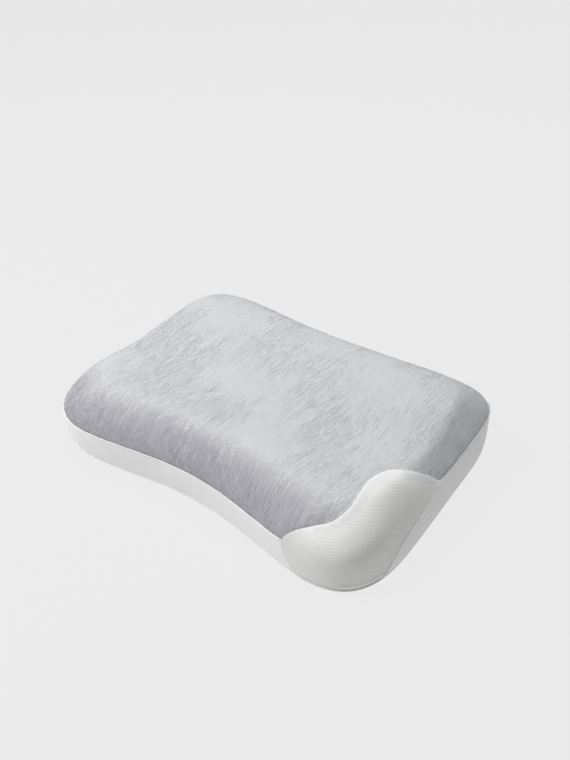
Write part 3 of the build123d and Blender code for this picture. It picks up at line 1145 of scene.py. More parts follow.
@dataclass
class Studio:
    """Pale floor, soft light and the camera."""

    target: tuple[float, float, float] = (0.0, -9.0 * MM, 46.9 * MM)
    azimuth: float = 42.46
    elevation: float = 36.94
    roll: float = -3.58
    distance: float = 1320.9 * MM
    lens: float = 42.53
    shift: tuple[float, float] = (0.0160, 0.0535)
    floor_half: float = 30.0
    floor_tone: float = 0.829
    floor_glow: float = 0.96
    backdrop: float = 0.823
    ambient: float = 0.26
    lamps: tuple[Lamp, ...] = (
        Lamp("key", (-1.2, -1.2, 1.7), 37.5, 1.2),
        Lamp("top", (-0.2, 0.5, 2.2), 22.0, 1.6),
    )

    def camera(self) -> None:
        """Places the camera."""
        azimuth, elevation, roll = (math.radians(a) for a in (self.azimuth, self.elevation, self.roll))
        back = Vector((math.sin(azimuth) * math.cos(elevation), -math.cos(azimuth) * math.cos(elevation),
                       math.sin(elevation)))
        right = Vector((math.cos(azimuth), math.sin(azimuth), 0.0))
        up = back.cross(right)
        turned = Matrix.Rotation(roll, 3, back)
        right, up = turned @ right, turned @ up
        matrix = Matrix((right, up, back)).transposed().to_4x4()
        matrix.translation = Vector(self.target) + back * self.distance
        data = bpy.data.cameras.new("camera")
        data.lens = self.lens
        data.sensor_width = 36.0
        data.shift_x, data.shift_y = self.shift
        data.clip_end = 50.0
        camera = bpy.data.objects.new("camera", data)
        camera.matrix_world = matrix
        bpy.context.scene.collection.objects.link(camera)
        bpy.context.scene.camera = camera

    def light(self, lamp: Lamp) -> None:
        """Hangs a lamp.

        Args:
            lamp: Which lamp.
        """
        data = bpy.data.lights.new(lamp.name, "AREA")
        data.energy = lamp.power
        data.size = lamp.size
        hung = bpy.data.objects.new(lamp.name, data)
        hung.location = lamp.place
        hung.rotation_euler = Vector(lamp.place).to_track_quat("Z", "Y").to_euler()
        bpy.context.scene.collection.objects.link(hung)

    def surroundings(self) -> None:
        """Makes the world light, and the plain backdrop that the camera sees instead of it."""
        world = bpy.data.worlds.new("world")
        bpy.context.scene.world = world
        world.use_nodes = True
        background = world.node_tree.nodes["Background"]
        background.inputs["Color"].default_value = (0.98, 0.99, 1.0, 1.0)
        background.inputs["Strength"].default_value = self.ambient
        seen = world.node_tree.nodes.new("ShaderNodeBackground")
        seen.inputs["Color"].default_value = (self.backdrop, self.backdrop, self.backdrop, 1.0)
        path = world.node_tree.nodes.new("ShaderNodeLightPath")
        either = world.node_tree.nodes.new("ShaderNodeMixShader")
        world.node_tree.links.new(path.outputs["Is Camera Ray"], either.inputs[0])
        world.node_tree.links.new(background.outputs[0], either.inputs[1])
        world.node_tree.links.new(seen.outputs[0], either.inputs[2])
        output = world.node_tree.nodes["World Output"]
        world.node_tree.links.new(either.outputs[0], output.inputs["Surface"])

    def floor(self) -> None:
        """Makes the pale floor."""
        bm = bmesh.new()
        bmesh.ops.create_grid(bm, x_segments=2, y_segments=2, size=self.floor_half)
        floor_shader = bpy.data.materials.new("floor")
        floor_shader.use_nodes = True
        tree = floor_shader.node_tree
        glow = tree.nodes.new("ShaderNodeEmission")
        glow.inputs["Color"].default_value = (self.floor_tone, self.floor_tone, self.floor_tone, 1.0)
        matt = tree.nodes["Principled BSDF"]
        matt.inputs["Base Color"].default_value = (0.8, 0.8, 0.8, 1.0)
        matt.inputs["Roughness"].default_value = 0.9
        mix = tree.nodes.new("ShaderNodeMixShader")
        mix.inputs[0].default_value = self.floor_glow
        tree.links.new(matt.outputs[0], mix.inputs[1])
        tree.links.new(glow.outputs[0], mix.inputs[2])
        tree.links.new(mix.outputs[0], tree.nodes["Material Output"].inputs["Surface"])
        make_object(bm, "floor", floor_shader)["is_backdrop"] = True

    def build(self) -> None:
        """Makes the surroundings, the floor and the lamps."""
        self.surroundings()
        self.floor()
        for lamp in self.lamps:
            self.light(lamp)
        bpy.context.scene.view_settings.view_transform = "Standard"


@dataclass
class Cover:
    """Outer cover: one whole skin of the pillow, cut into its sewn panels."""

    form: PillowForm
    pattern: Pattern
    spacing: float = 2.8 * MM
    quick_spacing: float = 4.0 * MM
    blank_shares: tuple[float, float] = (1.86, 1.7)
    weld: float = 0.35 * MM
    thickness: float = 2.2 * MM
    softening: dict[Panel, int] = field(default_factory=lambda: {Panel.PLUSH: 75, Panel.CORNER: 80})
    finishing_passes: int = 15
    sway: Waves = Waves(0.5 * MM, 160.0 * MM, 5)
    puckers: Waves = Waves(0.28 * MM, 14.0 * MM, 6)
    pucker_reach: float = 9.0 * MM
    seam_dip: float = 1.3 * MM
    seam_reach: float = 4.5 * MM
    curve_dip: float = 1.6 * MM
    curve_reach: float = 7.2 * MM
    rib_direction: tuple[float, float, float] = (-0.313, 0.519, 0.795)
    rib_pitch: float = 3.7 * MM
    rib_height: float = 0.34 * MM
    rib_drift: Waves = Waves(0.9 * MM, 70.0 * MM, 11)
    rib_tremble: Waves = Waves(0.25 * MM, 12.0 * MM, 14)
    # Usual strength and least strength of the ribs.
    rib_strength: tuple[float, float] = (0.38, 0.04)
    rib_fading: tuple[Waves, Waves] = (Waves(0.7, 110.0 * MM, 12), Waves(0.6, 30.0 * MM, 13))
    rib_start: float = 4.0 * MM
    rib_ramp: float = 10.0 * MM
    roll_height: float = 2.0 * MM
    roll_width: float = 8.0 * MM
    # Reach of the painted light near the rolled edge, in roll widths.
    painted_light_reach: float = 2.4
    hem_height: float = 15.5 * MM
    hem_gap: float = 2.0 * MM
    hem_rise: float = 0.7 * MM
    hem_reach: float = 4.0 * MM
    row_dip: float = 0.85 * MM
    row_reach: float = 0.9 * MM
    ridge_rise: float = 0.2 * MM
    ridge_reach: float = 4.0 * MM
    off_band: float = 20.0 * MM
    rim_slack: float = 0.8 * MM
    tip_slack: float = 1.5 * MM
    # Painted shade on the plush sides that face front and left, where the pile turns down: how much the left
    # side takes, where it starts, how fast it rises, and its streaks, their squeeze and patches.
    left_painted_shade: float = 0.4
    painted_shade_start: float = 0.02
    painted_shade_range: float = 0.85
    painted_shade_streaks: Waves = Waves(0.1, 20.0 * MM, 32)
    painted_shade_squeeze: tuple[float, float, float] = (1.0, 0.2, 0.2)
    painted_shade_patches: Waves = Waves(0.18, 60.0 * MM, 31)
    cloth_slant: float = 0.7
    rim: np.ndarray = field(default_factory=lambda: np.zeros((0, 3)))
    rim_outward: np.ndarray = field(default_factory=lambda: np.zeros((0, 3)))

    def blank(self) -> bmesh.types.BMesh:
        """Whole closed skin, before it is cut.

        Returns:
            The skin, as an even grid on the pillow's form.
        """
        bm = bmesh.new()
        bmesh.ops.create_cube(bm, size=1.0)
        deep, high = self.blank_shares
        sizes = (2 * self.form.half_length, deep * self.form.half_depth, high * self.form.centre_height)
        bmesh.ops.scale(bm, vec=sizes, verts=bm.verts)
        bmesh.ops.translate(bm, vec=(0, 0, self.form.centre_height), verts=bm.verts)
        for axis, size in enumerate(sizes):
            along = [e for e in bm.edges
                     if abs((e.verts[1].co - e.verts[0].co).normalized()[axis]) > 0.99]
            cuts = round(size / self.spacing) - 1
            bmesh.ops.subdivide_edges(bm, edges=along, cuts=cuts, use_grid_fill=True)
        move_to(bm, self.form.project(places(bm)))
        bmesh.ops.recalc_face_normals(bm, faces=bm.faces)
        return bm

    def cut_panels(self, bm: bmesh.types.BMesh) -> None:
        """Adds every panel line to the skin and numbers its faces.

        Args:
            bm: The whole skin.
        """
        pattern = self.pattern

        def above(p: np.ndarray) -> np.ndarray:
            """Positive on the top, down to just below the band's seam."""
            return pattern.seam(p) + pattern.cut_slack

        def below(p: np.ndarray) -> np.ndarray:
            """Positive on the band, up to just above its seam."""
            return pattern.cut_slack - pattern.seam(p)

        cut(bm, pattern.seam)
        cut(bm, lambda p: p[:, 2] - pattern.bottom_height)
        cut(bm, pattern.curve, lambda p: np.minimum(pattern.near_corner(p), above(p)))
        cut(bm, pattern.tip, lambda p: np.minimum(pattern.near_tip(p), above(p)))
        for edge in (pattern.front_edge, pattern.side_edge):
            cut(bm, edge, lambda p: np.minimum(pattern.near_corner(p), below(p)))
        for place in pattern.slot_along:
            cut(bm, lambda p, at=place: pattern.along_zip(p) - at, pattern.near_left)
        for height in (*pattern.slot_heights, pattern.zip_height):
            cut(bm, lambda p, at=height: p[:, 2] - at, pattern.near_left)
        for place in (pattern.left_front, pattern.left_back):
            cut(bm, lambda p, at=place: p[:, 1] - at, pattern.near_left)
        cut(bm, lambda p: p[:, 0] - pattern.right_start, lambda p: np.minimum(p[:, 1], below(p)))
        bmesh.ops.remove_doubles(bm, verts=bm.verts, dist=self.weld)
        numbers = pattern.panels(np.array([f.calc_center_median() for f in bm.faces]))
        layer = bm.faces.layers.int.new("panel")
        for face, number in zip(bm.faces, numbers):
            face[layer] = int(number)

    def relief(self, points: np.ndarray, panel: Panel) -> np.ndarray:
        """How far each point of a panel stands out from the plain form.

        Args:
            points: Places on the panel.
            panel: Which panel it is.

        Returns:
            Height along the outward direction, in metres.
        """
        height = self.sway.at(points)
        if panel is Panel.CORNER:
            return height
        seam = self.pattern.seam(points)
        height -= self.seam_dip * bell(seam, self.seam_reach)
        height += self.puckers.at(points) * bell(seam, self.pucker_reach)
        if panel is Panel.PLUSH:
            height -= self.curve_dip * bell(self.pattern.curve(points), self.curve_reach)
        return height

    def corner_relief(self, points: np.ndarray, rib: np.ndarray, rim: np.ndarray) -> np.ndarray:
        """Ribs, rolled edge, hem and side ridge of the ribbed corner.

        Args:
            points: Places on the corner panel.
            rib: Height of the ribs there, from 0 to 1.
            rim: Distance from the edge that the corner shares with the plush.

        Returns:
            Height along the outward direction, in metres.
        """
        height = self.rib_height * (rib - 0.5) + self.roll_height * bell(rim, self.roll_width)
        for side in (-1, 1):
            row = points[:, 2] - self.hem_height - side * self.hem_gap
            height -= self.row_dip * bell(row, self.row_reach)
        on_top = self.pattern.seam(points) > 0
        from_side = np.abs(self.pattern.side_edge(points)) + self.off_band * on_top
        height += self.ridge_rise * bell(from_side, self.ridge_reach)
        fold = (points[:, 2] - self.hem_height) / self.hem_reach
        return height + self.hem_rise * np.exp(-(fold**4))

    def panel(self, skin: bmesh.types.BMesh, panel: Panel, name: str, material: bpy.types.Material,
              slot: str, node: str, finer: int = 0) -> bpy.types.Object:
        """Makes one panel from its part of the skin.

        Args:
            skin: The cut skin.
            panel: Which panel.
            name: Name of the piece.
            material: Its finish.
            slot: Material slot of the record; not used.
            node: CAD node that it stands for.
            finer: Extra cuts in each edge, for fine relief.

        Returns:
            The panel's object.
        """
        bm = skin.copy()
        layer = bm.faces.layers.int["panel"]
        others = [f for f in bm.faces if f[layer] != panel.value]
        bmesh.ops.delete(bm, geom=others, context="FACES")
        if panel in self.softening:
            soften(bm, self.softening[panel])
        if finer:
            bmesh.ops.subdivide_edges(bm, edges=bm.edges, cuts=finer, use_grid_fill=True)
            soften(bm, self.finishing_passes)
        points = places(bm)
        outward = normals(bm)
        height = self.relief(points, panel)
        stored: dict[str, np.ndarray] = {}
        if panel is Panel.PLUSH:
            # Painted shade on the plush sides that face front and left.
            stored["nap_and_painted_shade"] = self.nap_and_painted_shade(points, outward)
        if panel is Panel.CORNER:
            rim = self.from_rim(points)
            stored["rib"] = self.ribs(points, rim)
            # Painted light: the cloth is lighter near the rolled edge.
            stored["edge"] = bell(rim, self.painted_light_reach * self.roll_width)
            height += self.corner_relief(points, stored["rib"], rim)
        placed = points + outward * height[:, None]
        placed[:, 2] = np.maximum(placed[:, 2], 0.0)
        move_to(bm, placed)
        if panel is Panel.PLUSH:
            self.rim, self.rim_outward = rim_of(bm)
        piece = make_object(bm, name, material)
        store_uv(piece, self.cloth_place(points, panel))
        for name_of_value, values in stored.items():
            store_value(piece, name_of_value, values)
        thicken(piece, self.thickness)
        fasten(piece, node)
        return piece

    def lifted(self, line: np.ndarray, height: float) -> np.ndarray:
        """Places a line on the form at a height above the plain cloth."""
        rise = self.sway.at(line) + height
        return line + self.form.outward(line) * rise[:, None]

    def corner_rim(self) -> np.ndarray:
        """Finds the part of the plush's rim that lies on the ribbed corner.

        Returns:
            True for each point of the rim that does.
        """
        pattern = self.pattern
        curve = pattern.curve(self.rim)
        rounded = (pattern.near_tip(self.rim) > 0) & (pattern.tip(self.rim) < self.tip_slack)
        return (curve > -self.rim_slack) | (rounded & (curve > -1.5 * pattern.tip_radius))

    def from_rim(self, points: np.ndarray) -> np.ndarray:
        """Distance of each point from the edge that the corner shares with the plush."""
        tree = search_tree(self.rim[self.corner_rim()])
        return np.array([tree.find(place)[2] for place in points])

    def ribs(self, points: np.ndarray, rim: np.ndarray) -> np.ndarray:
        """Height of the ribs, which fade out here and there.

        Args:
            points: Places on the corner panel.
            rim: Distance from the edge that the corner shares with the plush.

        Returns:
            0 in a groove and 1 on a rib.
        """
        along = points @ np.array(self.rib_direction) + self.rib_drift.at(points)
        along += self.rib_tremble.at(points)
        usual, least = self.rib_strength
        broad, fine = self.rib_fading
        strength = np.clip(usual + broad.at(points) + fine.at(points), least, 1.0)
        edge = np.clip((rim - self.rib_start) / self.rib_ramp, 0.0, 1.0)
        return 0.5 + 0.5 * np.sin(along * 2 * math.pi / self.rib_pitch) * strength * edge

    def nap_and_painted_shade(self, points: np.ndarray, outward: np.ndarray) -> np.ndarray:
        """Painted shade on the sides of the plush that face front and left, where the pile also turns down.

        Args:
            points: Places on the plush.
            outward: Outward directions there.

        Returns:
            From 0 for no painted shade to 1 for full painted shade.
        """
        streaks = self.painted_shade_streaks.at(points * np.array(self.painted_shade_squeeze))
        facing = -outward[:, 1] + self.left_painted_shade * np.clip(-outward[:, 0], 0, 1)
        front = np.clip((facing - self.painted_shade_start + streaks) / self.painted_shade_range, 0, 1)
        front = front * front * (3 - 2 * front)
        return np.clip(front * (1 + self.painted_shade_patches.at(points)), 0, 1)

    def cloth_place(self, points: np.ndarray, panel: Panel) -> np.ndarray:
        """Position on the cloth of a panel, in metres.

        Args:
            points: Places on the panel.
            panel: Which panel it is.

        Returns:
            Two columns: across the cloth and along it.
        """
        x, y, z = points.T
        if panel in (Panel.PLUSH, Panel.CORNER):
            along, across = self.form.shares(points)
            share = across / np.maximum(along + across, TINY)
            drop = self.form.roll_height(y) - z
            return np.stack([x + np.sign(x) * drop * (1 - share), y + np.sign(y) * drop * share], 1)
        if panel is Panel.BOTTOM:
            return np.stack([x, y], 1)
        if panel in (Panel.FRONT, Panel.BACK):
            return np.stack([x + self.cloth_slant * y, z], 1)
        return np.stack([y - self.cloth_slant * x, z], 1)


@dataclass(frozen=True)
class Coat:
    """One kind of lock in the pile."""

    name: str
    seed: int
    length: tuple[float, float]
    width: tuple[float, float]
    lift: float
    clustering: float
    contrast: float
    doublings: int


@dataclass
class Pile:
    """Separate locks of pile that lie over the plush panel."""

    cover: Cover
    brush: tuple[float, float, float] = (0.0, -1.0, -0.35)
    levels: int = 5
    rim_margin: float = 2.5 * MM
    overhang: float = 0.25
    cropped: float = 0.3
    sunk: float = 0.45
    roundness: float = 0.25
    swing: tuple[Waves, Waves] = (Waves(0.2, 140.0 * MM, 21), Waves(0.08, 40.0 * MM, 22))
    swing_spread: float = 0.05
    patches: tuple[Waves, Waves] = (Waves(1.0, 130.0 * MM, 61), Waves(0.6, 50.0 * MM, 62))
    # Usual, least and most share of locks.
    patch_range: tuple[float, float, float] = (0.35, 0.03, 1.0)
    patch_power: float = 1.5
    strays: float = 0.3
    # What each adds to that share, where it lies and how wide it is.
    front_roll: tuple[float, float, float] = (0.35, -140.0 * MM, 80.0 * MM)
    right_end: tuple[float, float, float] = (0.3, 200.0 * MM, 60.0 * MM)
    smooth_weight: float = 0.5
    smooth_place: tuple[float, float] = (-160.0 * MM, 130.0 * MM)
    smooth_reach: tuple[float, float] = (130.0 * MM, 90.0 * MM)
    coats: tuple[Coat, ...] = (
        Coat("pile_fuzz_1", 41, (8 * MM, 18 * MM), (0.16 * MM, 0.3 * MM), 0.2 * MM, 0.1, 0.9, 13),
        Coat("pile_fuzz_2", 42, (10 * MM, 26 * MM), (0.18 * MM, 0.34 * MM), 0.3 * MM, 0.4, 1.3, 13),
        Coat("pile_strands", 43, (16 * MM, 42 * MM), (0.32 * MM, 0.62 * MM), 0.45 * MM, 1.0, 1.6, 13),
    )

    def template(self, doublings: int) -> bmesh.types.BMesh:
        """Many thin closed spikes on top of each other, each with rings so that it can bend.

        Args:
            doublings: How many times one spike is doubled.

        Returns:
            The spikes, one after the other.
        """
        bm = bmesh.new()
        bmesh.ops.create_cone(bm, cap_ends=True, segments=3, radius1=1.0, radius2=0.0, depth=1.0)
        bmesh.ops.remove_doubles(bm, verts=bm.verts, dist=10 * WELD)
        sides = [e for e in bm.edges if abs(e.verts[0].co.z - e.verts[1].co.z) > 0.5]
        bmesh.ops.subdivide_edges(bm, edges=sides, cuts=self.levels - 2)
        for _ in range(doublings):
            bmesh.ops.duplicate(bm, geom=bm.verts[:] + bm.edges[:] + bm.faces[:])
        return bm

    def thickness(self, middle: np.ndarray) -> np.ndarray:
        """How thick the locks lie, in patches.

        Args:
            middle: Places on the plush.

        Returns:
            Share for each place, more on the front roll and at the right end.
        """
        weight, centre, reach = self.front_roll
        front = weight * bell(middle[:, 1] - centre, reach)
        offset = (middle[:, :2] - np.array(self.smooth_place)) / np.array(self.smooth_reach)
        smooth = self.smooth_weight * np.exp(-(offset[:, 0] ** 2) - offset[:, 1] ** 2)
        weight, start, ramp = self.right_end
        right = weight * np.clip((middle[:, 0] - start) / ramp, 0, 1)
        broad, fine = self.patches
        usual, least, most = self.patch_range
        amount = usual + (broad.at(middle) + fine.at(middle)) + front - smooth + right
        return np.clip(amount, least, most) ** self.patch_power

    def build(self, plush: bpy.types.Object, material: bpy.types.Material) -> None:
        """Lays the locks over the plush panel.

        Args:
            plush: The finished panel.
            material: Finish of the locks.
        """
        mesh = plush.data
        mesh.calc_loop_triangles()
        corners = np.zeros(len(mesh.loop_triangles) * 3, np.int32)
        mesh.loop_triangles.foreach_get("vertices", corners)
        corners = corners.reshape(-1, 3)
        points = vertex_array(mesh)
        outward = np.zeros(len(mesh.vertices) * 3, np.float32)
        mesh.vertices.foreach_get("normal", outward)
        outward = outward.reshape(-1, 3).astype(float)
        triangles = points[corners]
        first, second = (triangles[:, k] - triangles[:, 0] for k in (1, 2))
        area = np.linalg.norm(np.cross(first, second), axis=1)
        thickness = self.thickness(triangles.mean(1))
        cloth = BVHTree.FromPolygons([Vector(point) for point in points], corners.tolist())
        for coat in self.coats:
            draw = np.random.default_rng(coat.seed)
            count = 2**coat.doublings
            bm = self.template(coat.doublings)
            chance = area * ((1 - coat.clustering) * self.strays + thickness)
            chosen = draw.choice(len(area), count, p=chance / chance.sum())
            weights = draw.dirichlet((1, 1, 1), count)[:, :, None]
            base = (triangles[chosen] * weights).sum(1)
            up = (outward[corners[chosen]] * weights).sum(1)
            up /= np.linalg.norm(up, axis=1)[:, None]
            self.lay(bm, coat, cloth, base, up, draw)
            piece = make_object(bm, coat.name, material, smooth=False)
            per_lock = len(piece.data.vertices) // count
            shade = 0.5 + coat.contrast * (draw.uniform(0, 1, count) - 0.5)
            store_value(piece, "lock", np.repeat(shade, per_lock))
            # Each lock takes the painted shade of the plush where it starts.
            store_value(piece, "nap_and_painted_shade", np.repeat(self.cover.nap_and_painted_shade(base, up), per_lock))
            fasten(piece)

    def centre_lines(self, cloth: BVHTree, base: np.ndarray, along: np.ndarray,
                     length: np.ndarray) -> np.ndarray:
        """Lines of the locks, laid onto the cloth.

        Args:
            cloth: The plush panel's surface.
            base: Where each lock starts.
            along: Its direction.
            length: Its length.

        Returns:
            Points of each line.
        """
        share = np.linspace(0, 1, self.levels)
        flat = base[:, None] + along[:, None] * (share * length[:, None])[:, :, None]
        found = [cloth.find_nearest(Vector(point))[0] for point in flat.reshape(-1, 3)]
        return np.array(found).reshape(flat.shape)

    def lay(self, bm: bmesh.types.BMesh, coat: Coat, cloth: BVHTree, base: np.ndarray, up: np.ndarray,
            draw: np.random.Generator) -> None:
        """Moves every lock to its place, bent along the surface.

        Args:
            bm: All locks on top of each other, in order.
            coat: Kind of lock.
            cloth: The plush panel's surface.
            base: Where each lock starts.
            up: Outward direction there.
            draw: Source of the spread in size and direction.
        """
        count = len(base)
        shape = places(bm).reshape(count, -1, 3)
        broad, fine = self.swing
        swing = broad.at(base) + fine.at(base) + draw.normal(0, self.swing_spread, count)
        brush = np.array(self.brush)
        along = brush - (up @ brush)[:, None] * up
        along /= np.linalg.norm(along, axis=1)[:, None]
        aside = np.cross(up, along)
        along = along * np.cos(swing)[:, None] + aside * np.sin(swing)[:, None]
        aside = np.cross(up, along)
        length = draw.uniform(*coat.length, count)
        width = draw.uniform(*coat.width, count)[:, None]
        rim = search_tree(self.cover.rim)
        reach = base + along * length[:, None]
        tips = self.centre_lines(cloth, base, along, length)[:, -1]
        short = np.array([rim.find(tip)[2] for tip in tips]) < self.rim_margin
        short &= np.linalg.norm(reach - tips, axis=1) > self.overhang * length
        length = np.where(short, self.cropped * length, length)
        line = self.centre_lines(cloth, base, along, length)
        share = shape[:, :, 2] + 0.5
        level = np.rint(share[0] * (self.levels - 1)).astype(int)
        height = coat.lift * (np.sin(share * math.pi) - self.sunk) + shape[:, :, 1] * width * self.roundness
        side = shape[:, :, 0] * width
        placed = line[:, level] + aside[:, None] * side[:, :, None] + up[:, None] * height[:, :, None]
        move_to(bm, placed.reshape(-1, 3))


@dataclass
class Trim:
    """Welts, piping and stitching of the cover."""

    cover: Cover
    welt: float = 0.75 * MM
    curve_welt: float = 2.4 * MM
    side_welt: float = 0.9 * MM
    thread: float = 0.5 * MM
    top_lift: float = 0.1 * MM
    side_lift: float = 0.4 * MM
    bottom_height: float = 4.8 * MM
    hem_start: float = 2.0 * MM
    hem_end: float = 262.0 * MM
    hem_lift: float = 0.2 * MM
    roll_offset: float = 1.4 * MM
    roll_sunk: float = 0.9 * MM
    roll_clear: float = 1.5 * MM
    roll_rib: float = 0.9
    roll_smoothing: int = 6

    def build(self, cord: bpy.types.Material, rib: bpy.types.Material, thread: bpy.types.Material,
              corner: bpy.types.Object) -> None:
        """Makes every welt and stitch row.

        Args:
            cord: Finish of the welts.
            rib: Finish of the rolled edge of the corner.
            thread: Finish of the stitches.
            corner: The ribbed corner, which carries the hem stitches.
        """
        form, pattern = self.cover.form, self.cover.pattern
        ring = form.around(form.seam_height, -32, 328, 700)
        keep = (pattern.curve(ring) < 0) & ~((pattern.near_tip(ring) > 0) & (pattern.tip(ring) < 0))
        first = int(np.argmax(keep & ~np.roll(keep, 1)))
        ring = np.roll(ring, -first, axis=0)[: int(keep.sum())]
        ring = self.cover.lifted(ring, self.top_lift)
        top = strand("top_seam_welt", [ring], self.welt, cord, sides=3)
        fasten(top, "top_piping")
        low = form.level(self.bottom_height, 0, 360, 600)[:-1]
        bottom = strand("bottom_seam_welt", [low], self.welt, cord, closed=True, sides=3)
        fasten(bottom, "bottom_piping")
        roll = strand("rolled_corner_edge", [self.curve_line()], self.curve_welt, rib, sides=4)
        store_value(roll, "rib", np.full(len(roll.data.vertices), self.roll_rib))
        # Painted light: the rolled edge takes the full lightening of the edge value.
        store_value(roll, "edge", np.ones(len(roll.data.vertices)))
        fasten(roll, "corner_curve_piping")
        line = self.cover.lifted(self.on_side(pattern.corner_side), self.side_lift)
        side = strand("corner_side_welt", [line], self.side_welt, cord)
        fasten(side, "corner_side_piping")
        cloth = BVHTree.FromObject(corner, bpy.context.evaluated_depsgraph_get())
        rows = []
        for side_of_hem in (-1, 1):
            height = self.cover.hem_height + side_of_hem * self.cover.hem_gap
            line = form.level(height, -62, -14, 220)
            line = line[(pattern.front_edge(line) > self.hem_start) & (line[:, 0] < self.hem_end)]
            rows += dashes(self.onto(cloth, line, self.hem_lift))
        fasten(strand("corner_hem_stitches", rows, self.thread, thread, sides=1))

    def onto(self, cloth: BVHTree, line: np.ndarray, lift: float) -> np.ndarray:
        """Moves a line onto the nearest cloth.

        Args:
            cloth: The cloth's surface.
            line: Points of the line.
            lift: Height over the cloth.

        Returns:
            Points on the cloth.
        """
        found = [cloth.find_nearest(Vector(point)) for point in line]
        return np.array([place + normal * lift for place, normal, _, _ in found])

    def curve_line(self) -> np.ndarray:
        """Middle of the corner's rolled edge, just inside the corner.

        Returns:
            Points along it.
        """
        cover = self.cover
        clear = (cover.pattern.seam(cover.rim) > self.roll_clear) | (cover.pattern.near_tip(cover.rim) > 0)
        on_corner = cover.corner_rim() & clear
        first = int(np.argmax(on_corner & ~np.roll(on_corner, 1)))
        line = np.roll(cover.rim, -first, axis=0)[: int(on_corner.sum())]
        outward = np.roll(cover.rim_outward, -first, axis=0)[: int(on_corner.sum())]
        for _ in range(self.roll_smoothing):
            line[1:-1] = (line[:-2] + 2 * line[1:-1] + line[2:]) / 4
            outward[1:-1] = (outward[:-2] + 2 * outward[1:-1] + outward[2:]) / 4
        aside = np.cross(np.gradient(line, axis=0), outward)
        aside /= np.linalg.norm(aside, axis=1)[:, None]
        if cover.pattern.curve(line + aside * MM).sum() < cover.pattern.curve(line).sum():
            aside = -aside
        return line + aside * self.roll_offset + outward * (cover.seam_dip - self.roll_sunk)

    def on_side(self, line: np.ndarray) -> np.ndarray:
        """Moves a line seen from the right onto the right side of the pillow.

        Args:
            line: Points with y and z.

        Returns:
            Points on the band.
        """
        lowest = 5.0 * MM
        line = line[line[:, 1] > lowest]
        points = np.column_stack([np.zeros(len(line)), line])
        points = self.cover.form.slide_out(points, 0, 100.0 * MM, 350.0 * MM)
        return points[self.cover.pattern.seam(points) < 0]


@dataclass
class Filling:
    """Foam core in its sewn liner."""

    cover: Cover
    liner_depth: float = 4.4 * MM
    liner_thickness: float = 0.6 * MM
    core_depth: float = 5.4 * MM
    seam_height: float = 60.0 * MM
    relaxing: int = 80
    overlock: float = 0.45 * MM
    liner_cuts: tuple[tuple[float, float, float], ...] = ((0.64, 0.48, 0.25), (0.68, 0.52, 0.295))

    def shell(self, skin: bmesh.types.BMesh, depth: float) -> bmesh.types.BMesh:
        """Copy of the whole skin, moved inwards.

        Args:
            skin: Skin to copy.
            depth: How far it moves.

        Returns:
            The copy.
        """
        bm = skin.copy()
        move_to(bm, places(bm) - normals(bm) * depth)
        return bm

    def build(self, skin: bmesh.types.BMesh, foam: bpy.types.Material, jersey: bpy.types.Material) -> None:
        """Makes the core, both halves of the liner and the liner's seam.

        Args:
            skin: Whole skin before it is cut.
            foam: Finish of the core.
            jersey: Finish of the liner.
        """
        relaxed = skin.copy()
        soften(relaxed, self.relaxing)
        core = make_object(self.shell(relaxed, self.core_depth), "foam_filling", foam)
        fasten(core, "foam_core")
        halves = (("liner_upper_half", "liner_top", True), ("liner_lower_half", "liner_bottom", False))
        for (name, node, upper), (width, length, area) in zip(halves, self.liner_cuts):
            bm = self.shell(relaxed, self.liner_depth)
            bmesh.ops.bisect_plane(bm, geom=bm.verts[:] + bm.edges[:] + bm.faces[:],
                                   plane_co=(0, 0, self.seam_height), plane_no=(0, 0, 1),
                                   clear_inner=upper, clear_outer=not upper)
            points = places(bm)
            half = make_object(bm, name, jersey)
            store_uv(half, self.cover.cloth_place(points, Panel.PLUSH if upper else Panel.BOTTOM))
            thicken(half, self.liner_thickness)
            fasten(half, node)
        ring = self.cover.form.level(self.seam_height, 0, 360, 500)[:-1]
        liner = BVHTree.FromBMesh(relaxed)
        relaxed.free()
        found = [liner.find_nearest(Vector(point)) for point in ring]
        ring = np.array([place - normal * self.liner_depth for place, normal, _, _ in found])
        seam = strand("liner_overlock", [ring], self.overlock, jersey, closed=True)
        store_uv(seam, vertex_array(seam.data)[:, :2])
        fasten(seam, "liner_seam")


@dataclass
class Zip:
    """Zip in the left side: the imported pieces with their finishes, and the stitches that hold the tapes."""

    frame: dict
    cover: Cover
    margin: float = 2.6 * MM
    lift: float = 0.1 * MM
    thread: float = 0.35 * MM

    def dress(self, node: str, material: bpy.types.Material) -> None:
        """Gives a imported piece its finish."""
        for slot in self.frame["nodes"][node].material_slots:
            slot.material = material

    def row(self, height: float) -> np.ndarray:
        """Line along the left side at a height, as long as the stitched box round the zip.

        Args:
            height: Height of the line.

        Returns:
            Points on the cover.
        """
        pattern = self.cover.pattern
        line = self.cover.form.level(height, 140, 220, 500)
        along = pattern.along_zip(line)
        low, high = pattern.slot_along
        line = line[(along > low - self.margin) & (along < high + self.margin)]
        return self.cover.lifted(line, self.lift)

    def build(self, tape: bpy.types.Material, teeth: bpy.types.Material, metal: bpy.types.Material,
              thread: bpy.types.Material) -> None:
        """Dresses the zip and sews it in.

        Args:
            tape: Finish of the tapes.
            teeth: Finish of teeth and stops.
            metal: Finish of slider and pull.
            thread: Finish of the stitches.
        """
        for side in ("upper", "lower"):
            self.dress(f"zip_tape_{side}", tape)
            self.dress(f"zip_teeth_{side}", teeth)
        for node in ("zip_top_stops", "zip_bottom_stop"):
            self.dress(node, teeth)
        for node in ("zip_slider", "zip_pull"):
            self.dress(node, metal)
        low, high = self.cover.pattern.slot_heights
        rows = 9
        heights = np.linspace(low - self.margin, high + self.margin, rows)
        lines = [self.row(height) for height in heights]
        ends = [np.array([line[end] for line in lines]) for end in (0, -1)]
        stitches = [stitch for line in (lines[0], lines[-1], *ends) for stitch in dashes(line)]
        fasten(strand("zip_topstitch", stitches, self.thread, thread, sides=1))


